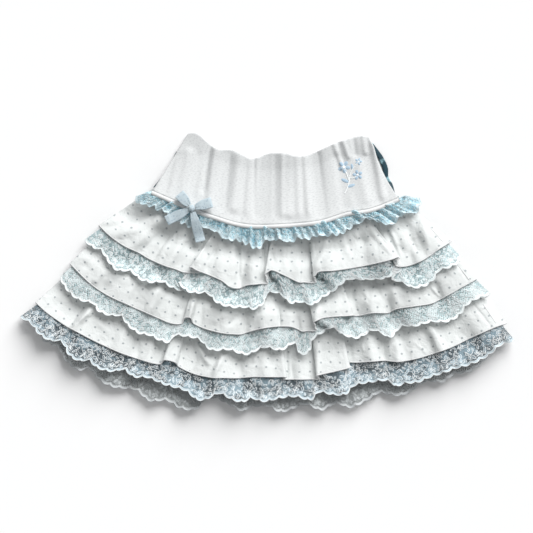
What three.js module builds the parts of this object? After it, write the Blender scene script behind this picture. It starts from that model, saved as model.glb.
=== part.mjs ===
// A child's tiered ruffle skirt, laid flat. Units are millimetres, +Z is up.
// The skirt rests on its back, its waist towards +Y and its front facing up.
import * as THREE from "three";

// Driving sizes
const HEM_WIDTH = 544;
const COTTON = 1.0;
const LACE = 1.0;
const JERSEY = 1.8;
const RIBBON = 1.0;
const BOW_RIBBON_WIDTH = 10.5;
const SIDE_RIBBON_WIDTH = 6;
const KNOT_RADIUS = 3.6;
const LOOP_HEIGHT = 4.5;
const PIPING_RADIUS = 1.7;
const SEAM_TUCK = 5;

// Clearances: between cloth layers, between pieces that touch, and beside the piping
const LAYER_GAP = 0.5;
const CONTACT_GAP = 0.3;
const PIPING_GAP = 0.6;

// The photograph's own frame, in which the outlines below are given
const HEM_LEFT_PX = 19.6;
const HEM_RIGHT_PX = 514.6;
const MIDDLE_PX = 267;
const MIDDLE_PY = 272;
const MM_PER_PX = HEM_WIDTH / (HEM_RIGHT_PX - HEM_LEFT_PX);

// Seams and hems run nearly round one point above the waist, as on a flared skirt.
const FAN_PX = 275;
const FAN_PY = -45;

// Names each number of a row after its column.
function table(columns, rows) {
  const names = columns.split(" ");
  return rows.map((row) =>
    Object.fromEntries(names.map((name, i) => [name, row[i] ?? 0])),
  );
}

// Each row is one ridge or trough. px and py place it in the photograph and rise lifts it, in mm.
// A tuck is how far the cloth runs back under a fold: above 0 its right side lies on top.
const WAIST_SEAM = table("px py", [
  [153, 191], [183, 204], [212, 215], [245, 224], [293, 223.5],
  [322, 220], [346, 212.5], [369, 209], [398, 198],
]);

const WAIST_TOP = table("px py rise", [
  [188, 133.5, 0], [196, 133, 3.5], [209, 143.5, 0.5], [217, 149, 3.2], [232, 150, 1.2],
  [244, 155.5, 3.4], [250, 158.5, 1], [258, 157.5, 3.2], [268, 153.5, 1.2], [282, 153, 3],
  [287, 153.5, 1.6], [295, 156, 3.6], [304, 156, 2.6], [313, 153, 0.4], [318, 151, 2.6],
  [331, 145, 3.2], [337, 142.5, 1.4], [343, 140.5, 3], [355, 137, 2.2], [362, 136, 0.8],
  [369, 137, 1],
]);

const WAIST_LACE_EDGE = table("px py rise", [
  [135, 197, 0], [139, 203, 1.5], [150, 206, 4], [162, 210, 1], [170, 217, 3.5],
  [181, 223, 4.5], [191, 226, 1.5], [201, 227, 3], [210, 229, 1.5], [217, 233, 4],
  [224, 238, 1.5], [231, 240.5, 4], [238, 240, 1], [251, 246, 3.5], [260, 248, 4],
  [265, 241, 1], [279, 240, 4.5], [289, 242, 3], [297, 239, 1], [307, 238.5, 4],
  [314, 237, 1], [321, 236, 3.5], [328, 235, 1.2], [338, 234.5, 4], [352, 227, 2],
  [367, 219, 1.5], [378, 221.5, 4], [392, 225, 4], [399, 217, 1], [408, 213, 4],
  [417, 211.5, 2.5], [421, 199, 0.5],
]);

const TIER_1_HEM = table("px py rise tuck", [
  [99, 225, 0], [110, 235.5, 2.5], [125, 246, 6], [138, 252, 3], [150, 259, 0.2],
  [165, 265.5, 5.5], [176, 269, 3.5], [184, 272, 0.2], [190, 267, 8, 12], [197, 270, 8],
  [206, 273.5, 4], [222, 280.5, 7], [230, 286.5, 5.5], [239, 288, 0.5], [247, 285, 5],
  [256, 284, 6], [261.5, 283.5, 0.4], [264.5, 273, 8.5, 7], [271, 270, 9], [283, 274.5, 7],
  [299, 282, 5], [304, 282, 0.2], [309, 282.5, 0], [313, 275.5, 8, 4], [318, 271.8, 10],
  [334, 270.3, 10.5], [356, 267, 8], [374, 263.5, 9.5], [390, 259.5, 11], [399, 257, 8, -11],
  [406, 266, 0.6], [419, 261.5, 5], [430, 255, 0.8], [439, 248.5, 5], [451, 241, 0],
]);

const TIER_2_HEM = table("px py rise tuck", [
  [70, 263, 0], [86, 279, 4], [99, 289.5, 2], [113, 297.5, 3], [125.5, 303, 6],
  [135, 307.5, 4], [147, 312.5, 6.5], [159, 318, 0.4], [172, 323, 2.5], [182, 323, 2],
  [185, 317.5, 7], [190.5, 317.2, 7], [193.5, 322.8, 0.4], [203, 327.5, 2.5], [221, 332.3, 6.5],
  [232, 333.6, 4], [241, 333.8, 1.8], [249, 331.5, 2.5], [262, 328, 7], [277, 326, 6],
  [281, 326, 3.5], [290, 326.2, 4], [297, 328.5, 1.5], [302, 331, 2.5], [308, 330.5, 0],
  [313, 321, 8.5, 7], [322, 317.8, 9], [336, 316, 7], [346, 315.5, 8], [353.5, 315, 8, -5],
  [359, 315.3, 0.4], [372, 312.6, 6.5], [382, 312.6, 4], [388, 312.5, 0.2], [396, 308.7, 6],
  [413, 306, 6], [430, 303.4, 3], [436, 301, 0.5], [448, 294.5, 6], [462, 286.5, 4],
  [476, 279, 0],
]);

const TIER_3_HEM = table("px py rise tuck", [
  [36, 302, 0], [47, 312, 2], [61, 322, 0.2], [68, 326.5, 1.8], [74, 329.5, 6.5],
  [88, 337, 6], [103, 344.5, 4], [120, 352, 4.5], [135, 357.5, 0.4], [147, 361, 5],
  [154, 363, 2.5], [161, 363.5, 3], [164.5, 359.5, 8], [175.5, 362, 8], [178.5, 366, 0.2],
  [193, 373, 1.5], [212, 377, 6.5], [222, 377.2, 6.5], [238, 377.6, 2], [252, 376.4, 5.5],
  [264, 376.3, 6.8], [275, 376.5, 5], [286.5, 376.5, 7.5, -4], [293, 379, 1], [300, 379, 3.5],
  [311, 378.8, 0.4], [316, 374.7, 7.5, 4.5], [324, 373.3, 8], [338, 370.2, 7], [350, 367.5, 7.5, -5],
  [358, 362.2, 1], [372, 361, 6], [384, 360.3, 2], [397, 361.3, 5.5], [408, 360, 2],
  [418, 357.8, 4], [433, 353.2, 2.5], [441, 350.4, 7], [453, 346, 3], [467, 339.2, 0.4],
  [481, 332.6, 5], [494, 327, 4], [506, 323, 0],
]);

const TIER_1_LACE_EDGE = table("px py rise tuck", [
  [84, 240, 0], [93, 247.5, 2], [101, 250, 1], [107, 259, 2.5], [117, 270, 4.5],
  [131, 271.5, 0.8], [140, 279, 3.5], [152, 282.5, 5], [163, 282, 4], [171, 287, 0.5],
  [183, 291, 0.8], [177, 283.5, 8, 10], [187, 291, 6], [197, 293, 5], [207, 293, 2],
  [218, 303, 5], [232, 307, 6], [247, 307.5, 3], [254, 309, 5], [263, 303.5, 3],
  [268, 293, 1.5], [279, 293.5, 4], [291, 303, 6.5], [300, 302, 3], [313, 304.5, 5],
  [321, 298.5, 3.5], [333, 291, 5], [347, 280, 2.5], [366, 279.5, 3.5], [388, 277, 6],
  [401, 266, 8, -9], [399, 281, 0.8], [412, 287.5, 4.5], [425, 285.5, 4], [434, 278, 1.5],
  [438, 271, 1.5], [450, 267, 4.5], [457, 263, 2.5], [460.5, 256.5, 0.5],
]);

const TIER_2_LACE_EDGE = table("px py rise", [
  [60, 277, 0], [65, 287, 2.5], [77, 298.5, 4.5], [88, 302, 3], [93, 303, 1],
  [99, 311, 3.5], [109, 315, 5.5], [122, 316.5, 2], [127, 324, 2], [139, 333, 5],
  [149, 335, 3], [161, 340.5, 5], [169, 342, 4], [175, 335.5, 1], [190, 337, 4.5],
  [199, 339, 2], [211, 349.5, 5], [229, 349.5, 2.5], [246, 354.5, 5], [265, 347, 2],
  [281, 350, 5], [295, 343, 1.5], [299, 353, 3], [305, 354, 4.5], [310, 350, 3],
  [312, 340, 1.8], [323, 332, 4.5], [332, 327, 2], [342, 334, 4.5], [357, 338, 5],
  [374, 330, 2], [390, 337, 5.5], [402, 326, 1.5], [414, 326, 5], [430, 322, 3],
  [449, 321, 5.5], [460, 314, 3], [466, 305.5, 1.2], [477, 298.5, 4.5], [491, 294, 0.5],
]);

const TIER_3_LACE_EDGE = table("px py rise", [
  [19.6, 317, 0], [31, 323, 3], [39, 333, 2], [50, 340, 4.5], [62, 341.5, 1],
  [70, 355, 4], [80, 360.5, 5], [89, 360, 1.8], [97, 367, 4.5], [112, 371, 5.5],
  [124, 369.5, 1.5], [134, 376.5, 5], [147, 377, 2.5], [163, 383.5, 5.5], [171, 386, 1.5],
  [186, 390.5, 4.5], [197, 399, 5], [206, 399, 4], [219, 393, 1.5], [232, 399, 5],
  [243, 401.5, 5], [251, 398, 2], [263, 401, 5], [281, 397.5, 1.5], [296, 396.3, 4],
  [311, 399.5, 5.5], [318, 392, 1.5], [334, 394.5, 5], [346, 393.5, 4], [353, 386, 1.5],
  [370, 382, 4], [388, 380.5, 1.5], [396, 386, 4], [404, 383, 2], [417, 382, 4],
  [429, 377, 2], [440, 373.5, 4], [454, 368.5, 1.5], [470, 364, 4], [488, 355, 1],
  [500, 345, 3.5], [514.6, 340.5, 0],
]);

const TIER_3_BACK_LACE_EDGE = table("px py rise", [
  [19.6, 317, 0], [38, 329, 1], [44, 340.5, 2], [57.5, 347, 3], [66, 360.5, 2.5],
  [79, 370, 4], [89, 368.5, 2], [100, 380, 4], [114, 387, 3], [136, 390, 2],
  [149, 400.5, 4], [167, 400.5, 2], [181, 408.5, 4], [197, 408.5, 3], [204, 400, 1],
  [215, 398, 1], [231, 405.5, 3], [243, 411, 4.5], [250, 407, 2], [269, 406.5, 3],
  [281, 412, 4.5], [306, 404.5, 1.5], [321, 410, 4], [336, 403.5, 2], [350, 407.5, 4],
  [369, 399, 1.5], [379, 393, 1], [402, 395, 3], [426, 381.5, 2], [443, 381.5, 3.5],
  [454, 374, 1.5], [467, 372.3, 3], [480, 364.5, 2], [490, 354, 1], [500, 345.5, 0.5],
  [514.6, 340.5, 0],
]);

// The satin loops that show past the sides of the waistband, outer edge first
const SIDE_RIBBON_RIGHT = table("px py", [
  [373, 143], [383.5, 157.5], [388, 168], [388.6, 177], [392.5, 184], [395.2, 193.5],
]);

const SIDE_RIBBON_LEFT = table("px py", [
  [176, 151.5], [169, 165.5], [159, 180], [153.2, 187.4],
]);

// How the panels of one tier meet the next, as turns about the fan point and reaches from it
const GATHER_LINES = table("tier reach left right", [
  [2, 312, -31.3, 29.4],
  [3, 362, -32.3, 30.4],
]);

const LACE_SEAMS = table("tier reach left right", [
  [1, 316, -31.9, 30.2],
  [2, 360, -32.6, 30.8],
  [3, 412, -33.7, 31.1],
]);

// Hidden back panels end on a plain arc of this reach.
const BACK_REACH = table("tier hem lace", [
  [1, 334, 352],
  [2, 379, 398],
  [3, 424, 440],
]);

// Bow parts, by the middle of their free end
const BOW_KNOT = table("px py", [[192, 208.5]])[0];
const BOW_LOOPS = table("px py", [
  [179.6, 194.2],
  [212, 202.5],
]);
const BOW_TAILS = table("px py", [
  [166.7, 221],
  [200.7, 241.6],
]);

// How each kind of panel is divided and folded. longest is the longest step along its free edge,
// in mm, and depths are the shares of its depth that have a row of points. Its folds rise from
// seamRise at the seam to 1 at the edge, by the power growth, and puff lifts its middle, in mm.
const PANELS = {
  waistband_front: { thickness: JERSEY, longest: 5, depths: [0, 0.33, 0.66, 1], seamRise: 0.35 },
  waistband_back: { thickness: JERSEY, longest: 16, depths: [0, 0.5, 1] },
  waist_lace_front: { thickness: LACE, longest: 6, depths: [0, 0.5, 1] },
  waist_lace_back: { thickness: LACE, longest: 9, depths: [0, 0.25, 0.5, 1] },
  top_tier_front: {
    thickness: COTTON, longest: 8.5, depths: [0, 0.25, 0.55, 0.78, 1], growth: 0.8, puff: 2,
  },
  tier_front: {
    thickness: COTTON, longest: 8.5, depths: [0, 0.25, 0.55, 0.78, 1], growth: 0.6, puff: 2,
  },
  top_tier_back: { thickness: COTTON, longest: 18, depths: [0, 0.07, 0.14, 0.24, 0.42, 0.8, 1] },
  tier_back: { thickness: COTTON, longest: 24, depths: [0, 0.14, 0.28, 0.45, 1] },
  top_lace_front: { thickness: LACE, longest: 8, depths: [0, 0.35, 0.65, 1] },
  lace_front: { thickness: LACE, longest: 8, depths: [0, 0.5, 1] },
  lace_back: { thickness: LACE, longest: 24, depths: [0, 0.5, 1] },
  hem_lace_back: { thickness: LACE, longest: 9.5, depths: [0, 0.5, 1], growth: 1.5 },
};

// Share of a fold's height that stays at the seam, and of a panel's width in which its puff fades
const FOLD_AT_SEAM = 0.35;
const PUFF_FADE = 1 / 12;

// The section of a fold, from under the upper layer to its top: how much of the tuck and of the
// bend's radius each point lies in from the fold's edge, and its share of the fold's height
const FOLD_BEND = 1.8;
const FOLD_SECTION = table("tucked bent lifted", [
  [1, 0, 0],
  [1, 1, 0.13],
  [1, 0, 0.3],
  [0, 1, 0.7],
  [0, 0, 0.87],
  [0, 1, 1],
]);

// The turns at which a hidden back panel's plain edge has a point, in degrees
const BACK_TURNS = [-26, -17, -8, 0, 8, 17, 25];

function fromPhoto({ px, py }) {
  return new THREE.Vector2(
    (px - MIDDLE_PX) * MM_PER_PX,
    (MIDDLE_PY - py) * MM_PER_PX,
  );
}

const FAN = fromPhoto({ px: FAN_PX, py: FAN_PY });

// A place given by its turn from straight down, in degrees, and its reach in photo pixels.
function fromFan(turn, reach) {
  const angle = THREE.MathUtils.degToRad(turn);
  const length = reach * MM_PER_PX;
  return new THREE.Vector2(
    FAN.x + Math.sin(angle) * length,
    FAN.y - Math.cos(angle) * length,
  );
}

// Moves a place away from the fan point.
function outward(place, distance) {
  const away = place.clone().sub(FAN).normalize();
  return place.clone().addScaledVector(away, distance);
}

// The height of what has been laid down so far. Each new piece rests on it.
class Ground {
  constructor() {
    this.cell = 2;
    this.columns = 300;
    this.rows = 190;
    this.spread = 3;
    this.tops = new Float32Array(this.columns * this.rows);
    this.smooth = this.tops;
    this.changed = false;
  }

  index(x, y) {
    const i = x / this.cell + this.columns / 2;
    const j = y / this.cell + this.rows / 2;
    return [
      THREE.MathUtils.clamp(i, 0, this.columns - 1.001),
      THREE.MathUtils.clamp(j, 0, this.rows - 1.001),
    ];
  }

  markPoint({ x, y, z }) {
    const [i, j] = this.index(x, y).map(Math.round);
    const k = j * this.columns + i;
    this.tops[k] = Math.max(this.tops[k], z);
  }

  // Marks every cell that a four-cornered patch crosses.
  markPatch(a, b, c, d) {
    const along = Math.ceil(Math.max(a.distanceTo(b), c.distanceTo(d)) / this.cell) + 1;
    const across = Math.ceil(Math.max(a.distanceTo(c), b.distanceTo(d)) / this.cell) + 1;
    for (let i = 0; i <= along; i++) {
      const near = a.clone().lerp(b, i / along);
      const far = c.clone().lerp(d, i / along);
      for (let j = 0; j <= across; j++) {
        this.markPoint(near.clone().lerp(far, j / across));
      }
    }
  }

  // Marks the highest point of a surface, given as rows of points, in each cell that it crosses.
  mark(surface) {
    for (let v = 0; v + 1 < surface.length; v++) {
      for (let u = 0; u + 1 < surface[v].length; u++) {
        const [a, b] = [surface[v][u], surface[v][u + 1]];
        const [c, d] = [surface[v + 1][u], surface[v + 1][u + 1]];
        this.markPatch(a, b, c, d);
      }
    }
    this.changed = true;
  }

  // Replaces each height by the highest or the mean of its neighbours in one direction.
  sweep(field, step, highest) {
    const last = field.length - 1;
    return field.map((_, k) => {
      let most = 0;
      let sum = 0;
      for (let n = -this.spread; n <= this.spread; n++) {
        const height = field[THREE.MathUtils.clamp(k + n * step, 0, last)];
        most = Math.max(most, height);
        sum += height;
      }
      return highest ? most : sum / (2 * this.spread + 1);
    });
  }

  // Widens each high place and then evens it out, so that the cloth above bends gently over it.
  settle() {
    let field = this.tops;
    for (const highest of [true, false]) {
      field = this.sweep(field, 1, highest);
      field = this.sweep(field, this.columns, highest);
    }
    this.smooth = field;
    this.changed = false;
  }

  // The highest point in the cells round a place, not evened out.
  highest(x, y) {
    const [i, j] = this.index(x, y).map(Math.round);
    let most = 0;
    for (let n = -1; n <= 1; n++) {
      for (let m = -1; m <= 1; m++) {
        most = Math.max(most, this.tops[(j + n) * this.columns + i + m]);
      }
    }
    return most;
  }

  at(x, y) {
    if (this.changed) {
      this.settle();
    }
    const [i, j] = this.index(x, y);
    const [i0, j0] = [Math.floor(i), Math.floor(j)];
    const k = j0 * this.columns + i0;
    const near = THREE.MathUtils.lerp(this.smooth[k], this.smooth[k + 1], i - i0);
    const next = k + this.columns;
    const far = THREE.MathUtils.lerp(this.smooth[next], this.smooth[next + 1], i - i0);
    return THREE.MathUtils.lerp(near, far, j - j0);
  }
}

const ground = new Ground();

// Where a cloth piece of this thickness rests, measured at its middle.
function restingHeight(x, y, thickness) {
  const below = ground.at(x, y);
  return thickness / 2 + below + Math.min(LAYER_GAP, below);
}

// One row of a free edge as an S-shaped fold that runs back over its lower neighbour.
function foldAt(row, low) {
  const side = Math.sign(row.tuck);
  const [place, lowPlace] = [fromPhoto(row), fromPhoto(low)];
  const fold = FOLD_SECTION.map(({ tucked, bent, lifted }) => {
    const inset = tucked * Math.abs(row.tuck) + bent * FOLD_BEND;
    const y = THREE.MathUtils.lerp(lowPlace.y, place.y, lifted);
    const rise = THREE.MathUtils.lerp(low.rise, row.rise, lifted);
    const point = new THREE.Vector3(place.x + side * inset, y, rise);
    point.folded = true;
    return point;
  });
  return side > 0 ? fold : fold.reverse();
}

// Points along a free edge, with x and y in mm and the rise as z.
function foldedEdge(rows) {
  return rows.flatMap((row, i) => {
    if (row.tuck) {
      return foldAt(row, rows[i - Math.sign(row.tuck)]);
    }
    const place = fromPhoto(row);
    return [new THREE.Vector3(place.x, place.y, row.rise)];
  });
}

// The turn of a place about the fan point, from straight down.
function turnOf({ x, y }) {
  return Math.atan2(x - FAN.x, FAN.y - y);
}

// Splits a curve through the points into short stretches. The share tells how much of the cloth
// lies before each one, and folded is 1 inside a fold and 0 away from it.
function columnsAlong(points, longest) {
  const curve = new THREE.CatmullRomCurve3(points, false, "centripetal");
  const spans = points.length - 1;
  const columns = [];
  for (let i = 0; i < spans; i++) {
    const steps = Math.ceil(points[i].distanceTo(points[i + 1]) / longest);
    const [near, far] = [points[i], points[i + 1]].map((end) => (end.folded ? 1 : 0));
    for (let k = 0; k < steps; k++) {
      const point = curve.getPoint((i + k / steps) / spans);
      columns.push({ point, folded: THREE.MathUtils.lerp(near, far, k / steps) });
    }
  }
  columns.push({ point: points[spans].clone(), folded: 0 });
  let turned = 0;
  columns.forEach((column, i) => {
    const before = columns[Math.max(0, i - 1)];
    turned += Math.abs(turnOf(column.point) - turnOf(before.point));
    column.share = turned;
  });
  columns.forEach((column) => {
    column.share /= turned;
  });
  return columns;
}

// A seam line that gives a place for each share of its length.
function seamLine(places) {
  const curve = new THREE.CatmullRomCurve3(
    places.map((place) => new THREE.Vector3(place.x, place.y, 0)),
    false,
    "centripetal",
  );
  curve.arcLengthDivisions = 400;
  return (share) => {
    const point = curve.getPointAt(share);
    return new THREE.Vector2(point.x, point.y);
  };
}

function fanLine({ reach, left, right }) {
  return (share) => fromFan(THREE.MathUtils.lerp(left, right, share), reach);
}

function waistLine(offset) {
  return seamLine(WAIST_SEAM.map((row) => outward(fromPhoto(row), offset)));
}

// Lays a strip of cloth from its gathered seam to its free edge, on top of what lies there.
function strip({ thickness, longest, depths, growth = 1, seamRise = 0, puff = 0 }, edge, seam) {
  const columns = columnsAlong(foldedEdge(edge), longest);
  return depths.map((depth) =>
    columns.map(({ point, share, folded }) => {
      const start = seam(share);
      const x = THREE.MathUtils.lerp(start.x, point.x, depth);
      const y = THREE.MathUtils.lerp(start.y, point.y, depth);
      const sides = Math.min(1, share / PUFF_FADE, (1 - share) / PUFF_FADE);
      const body = puff * Math.sin(Math.PI * depth) * sides;
      const caught = Math.max(seamRise, FOLD_AT_SEAM * folded);
      const folds = point.z * THREE.MathUtils.lerp(caught, 1, Math.pow(depth, growth));
      return new THREE.Vector3(x, y, restingHeight(x, y, thickness) + folds + body);
    }),
  );
}

// Normals of a surface that is given as rows of points. Each is evened out with those beside it
// in its row, so that the wall keeps clear of itself inside a tight bend.
function normalsOf(surface) {
  const ownWeight = 1.2;
  const last = surface.length - 1;
  const end = surface[0].length - 1;
  const plain = surface.map((row, v) =>
    row.map((_, u) => {
      const along = row[Math.min(u + 1, end)].clone().sub(row[Math.max(u - 1, 0)]);
      const [above, below] = [surface[Math.min(v + 1, last)], surface[Math.max(v - 1, 0)]];
      return above[u].clone().sub(below[u]).cross(along).normalize();
    }),
  );
  return plain.map((row) =>
    row.map((normal, u) => {
      const beside = row[Math.max(u - 1, 0)].clone().add(row[Math.min(u + 1, end)]);
      return beside.addScaledVector(normal, ownWeight).normalize();
    }),
  );
}

function movedOut(surface, normals, distance) {
  return surface.map((row, v) =>
    row.map((point, u) => point.clone().addScaledVector(normals[v][u], distance)),
  );
}

// A closed wall round a surface, of the given thickness.
function wall(surface, thickness) {
  const normals = normalsOf(surface);
  const top = movedOut(surface, normals, thickness / 2);
  const bottom = movedOut(surface, normals, -thickness / 2);
  ground.mark(top);
  ground.mark(bottom);
  const [rows, columns] = [surface.length, surface[0].length];
  const positions = [...top.flat(), ...bottom.flat()].flatMap(({ x, y, z }) => [x, y, Math.max(0, z)]);
  const up = (v, u) => v * columns + u;
  const down = (v, u) => rows * columns + up(v, u);
  const faces = [];
  const quad = (a, b, c, d) => faces.push(a, b, c, a, c, d);
  for (let v = 0; v + 1 < rows; v++) {
    for (let u = 0; u + 1 < columns; u++) {
      quad(up(v, u), up(v + 1, u), up(v + 1, u + 1), up(v, u + 1));
      quad(down(v, u), down(v, u + 1), down(v + 1, u + 1), down(v + 1, u));
    }
  }
  for (let u = 0; u + 1 < columns; u++) {
    const last = rows - 1;
    quad(up(0, u), up(0, u + 1), down(0, u + 1), down(0, u));
    quad(up(last, u), down(last, u), down(last, u + 1), up(last, u + 1));
  }
  for (let v = 0; v + 1 < rows; v++) {
    const last = columns - 1;
    quad(up(v, 0), down(v, 0), down(v + 1, 0), up(v + 1, 0));
    quad(up(v, last), up(v + 1, last), down(v + 1, last), down(v, last));
  }
  const geometry = new THREE.BufferGeometry();
  geometry.setAttribute("position", new THREE.Float32BufferAttribute(positions, 3));
  geometry.setIndex(faces);
  geometry.computeVertexNormals();
  return geometry;
}

const DOTTED_COTTON = { color: 0xf2f1ee, roughness: 0.85 };
const WHITE_COTTON = { color: 0xf7f7f5, roughness: 0.8 };
const HEATHER_JERSEY = { color: 0xeceae7, roughness: 0.95 };
const WAIST_LACE = { color: 0xbfe0ea, roughness: 0.7 };
const AQUA_LACE = { color: 0xc4dce2, roughness: 0.7 };
const BLUE_LACE = { color: 0xa9c0cf, roughness: 0.7 };
const BLUE_RIBBON = { color: 0xacc3d4, roughness: 0.55 };
const TEAL_SATIN = { color: 0x46696f, roughness: 0.3 };

const skirt = new THREE.Group();

function addPiece(name, geometry, { color, roughness }) {
  const material = new THREE.MeshStandardMaterial({ color, roughness, metalness: 0 });
  const mesh = new THREE.Mesh(geometry, material);
  mesh.name = name;
  skirt.add(mesh);
}

function addPanel(name, panel, edge, seam, finish) {
  addPiece(name, wall(strip(panel, edge, seam), panel.thickness), finish);
}

function ofTier(rows, tier) {
  return rows.find((row) => row.tier === tier);
}

function withoutFolds(rows) {
  return rows.map((row) => ({ ...row, rise: 0, tuck: 0 }));
}

// The ends of a front edge joined by a plain arc, for a panel that is hidden.
function plainEdge(front, reach) {
  const middle = BACK_TURNS.map((turn) => {
    const angle = THREE.MathUtils.degToRad(turn);
    return { px: FAN_PX + reach * Math.sin(angle), py: FAN_PY + reach * Math.cos(angle) };
  });
  return withoutFolds([front[0], ...middle, front.at(-1)]);
}

const HEMS = { 1: TIER_1_HEM, 2: TIER_2_HEM, 3: TIER_3_HEM };
const LACE_EDGES = { 1: TIER_1_LACE_EDGE, 2: TIER_2_LACE_EDGE, 3: TIER_3_LACE_EDGE };
const LACE_FINISHES = { 1: AQUA_LACE, 2: AQUA_LACE, 3: BLUE_LACE };

function gatherSeam(tier) {
  return tier === 1 ? waistLine(-SEAM_TUCK) : fanLine(ofTier(GATHER_LINES, tier));
}

function laceSeam(tier) {
  return fanLine(ofTier(LACE_SEAMS, tier));
}

function addBackTier(tier) {
  const reach = ofTier(BACK_REACH, tier);
  const panel = tier === 1 ? PANELS.top_tier_back : PANELS.tier_back;
  const hem = plainEdge(HEMS[tier], reach.hem);
  addPanel(`tier_${tier}_back`, panel, hem, gatherSeam(tier), DOTTED_COTTON);
  const lacePanel = tier === 3 ? PANELS.hem_lace_back : PANELS.lace_back;
  const laceEdge = tier === 3 ? TIER_3_BACK_LACE_EDGE : plainEdge(LACE_EDGES[tier], reach.lace);
  addPanel(`tier_${tier}_lace_back`, lacePanel, laceEdge, laceSeam(tier), LACE_FINISHES[tier]);
}

function addFrontTier(tier) {
  const lacePanel = tier === 1 ? PANELS.top_lace_front : PANELS.lace_front;
  addPanel(`tier_${tier}_lace_front`, lacePanel, LACE_EDGES[tier], laceSeam(tier), LACE_FINISHES[tier]);
  const panel = tier === 1 ? PANELS.top_tier_front : PANELS.tier_front;
  addPanel(`tier_${tier}_front`, panel, HEMS[tier], gatherSeam(tier), DOTTED_COTTON);
}

function addWaistband(side) {
  const edge = side === "front" ? WAIST_TOP : withoutFolds(WAIST_TOP);
  addPanel(`waistband_${side}`, PANELS[`waistband_${side}`], edge, waistLine(0), HEATHER_JERSEY);
}

function addWaistLace(side) {
  const edge = side === "front" ? WAIST_LACE_EDGE : withoutFolds(WAIST_LACE_EDGE);
  addPanel(`waist_lace_${side}`, PANELS[`waist_lace_${side}`], edge, waistLine(LAYER_GAP), WAIST_LACE);
}

// The middle of the piping, just outside the edge of the waistband and resting beside it.
function pipingRoute() {
  const stretches = 24;
  const line = waistLine(PIPING_RADIUS + PIPING_GAP);
  const route = [];
  for (let i = 0; i <= stretches; i++) {
    const { x, y } = line(i / stretches);
    route.push(new THREE.Vector3(x, y, restingHeight(x, y, 2 * PIPING_RADIUS)));
  }
  return route;
}

function addPiping(side, route) {
  const sides = 8;
  const corners = [];
  for (let i = 0; i < sides; i++) {
    const angle = (i * 2 * Math.PI) / sides;
    corners.push(new THREE.Vector2(Math.cos(angle), Math.sin(angle)).multiplyScalar(PIPING_RADIUS));
  }
  const geometry = new THREE.ExtrudeGeometry(new THREE.Shape(corners), {
    steps: 32,
    extrudePath: new THREE.CatmullRomCurve3(route, false, "centripetal"),
  });
  const topEdge = (shift) =>
    route.map(({ x, y, z }) => new THREE.Vector3(x, y + shift, z + PIPING_RADIUS));
  ground.mark([topEdge(-PIPING_RADIUS), topEdge(PIPING_RADIUS)]);
  addPiece(`waist_piping_${side}`, geometry, WHITE_COTTON);
}

// A narrow flat loop of ribbon along one side of the waistband. Its inward side is +1 or -1 in X.
function addSideRibbon(name, outerEdge, inward) {
  const longest = 8;
  const outer = columnsAlong(foldedEdge(outerEdge), longest).map(({ point }) => point);
  const rows = [0, 0.5, 1].map((across) =>
    outer.map((point) => {
      const x = point.x + inward * across * SIDE_RIBBON_WIDTH;
      return new THREE.Vector3(x, point.y, restingHeight(x, point.y, RIBBON));
    }),
  );
  const upwards = inward > 0 ? rows.reverse() : rows;
  addPiece(name, wall(upwards.map((row) => row.reverse()), RIBBON), TEAL_SATIN);
}

// Builds a ribbon from sections across it, each with its middle, its height and its width.
function ribbon(sections, direction) {
  const side = new THREE.Vector2(-direction.y, direction.x);
  const surface = [0.5, 0, -0.5].map((across) =>
    sections.map(({ middle, height, width }) => {
      const place = middle.clone().addScaledVector(side, across * width);
      return new THREE.Vector3(place.x, place.y, height);
    }),
  );
  return wall(surface, RIBBON);
}

// The widths of a loop's ribbon by the share of its length, from the knot out
const LOOP_WIDTHS = table("along width", [
  [0, 0.45],
  [0.35, 0.85],
  [0.7, 1],
  [1, 1],
]);

// How a loop leaves the knot: how far below its middle, how far it may sag and how far it opens
const LOOP_DROP = 0.4;
const LOOP_SAG = 2;
const LOOP_PINCH = 1.7;
const LOOP_RESTS_AT = 0.5;
const LOOP_OPEN_AT = 0.625;
const LOOP_END_TURNS = [-50, 0, 50];

// How a tail leaves the knot: how far below its middle, its widths and the waves that it lies in
const TAIL_DROP = 0.6;
const TAIL_STEPS = 7;
const TAIL_RESTS_AT = 0.4;
const TAIL_NARROW = 0.5;
const TAIL_WIDE = 0.95;
const TAIL_WAVE = 1.2;
const TAIL_WAVES = 1.5;

// A ramp from one value to another that is done at the given share of the way.
function rampTo(from, to, along, doneAt) {
  return THREE.MathUtils.lerp(from, to, Math.min(1, along / doneAt));
}

// Places along a bow's ribbon, from the knot to the middle of its free end.
function towards(target) {
  const start = fromPhoto(BOW_KNOT);
  const direction = fromPhoto(target).sub(start);
  const length = direction.length();
  direction.normalize();
  const place = (distance) => start.clone().addScaledVector(direction, distance);
  return { place, length, direction, first: KNOT_RADIUS + CONTACT_GAP };
}

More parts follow.
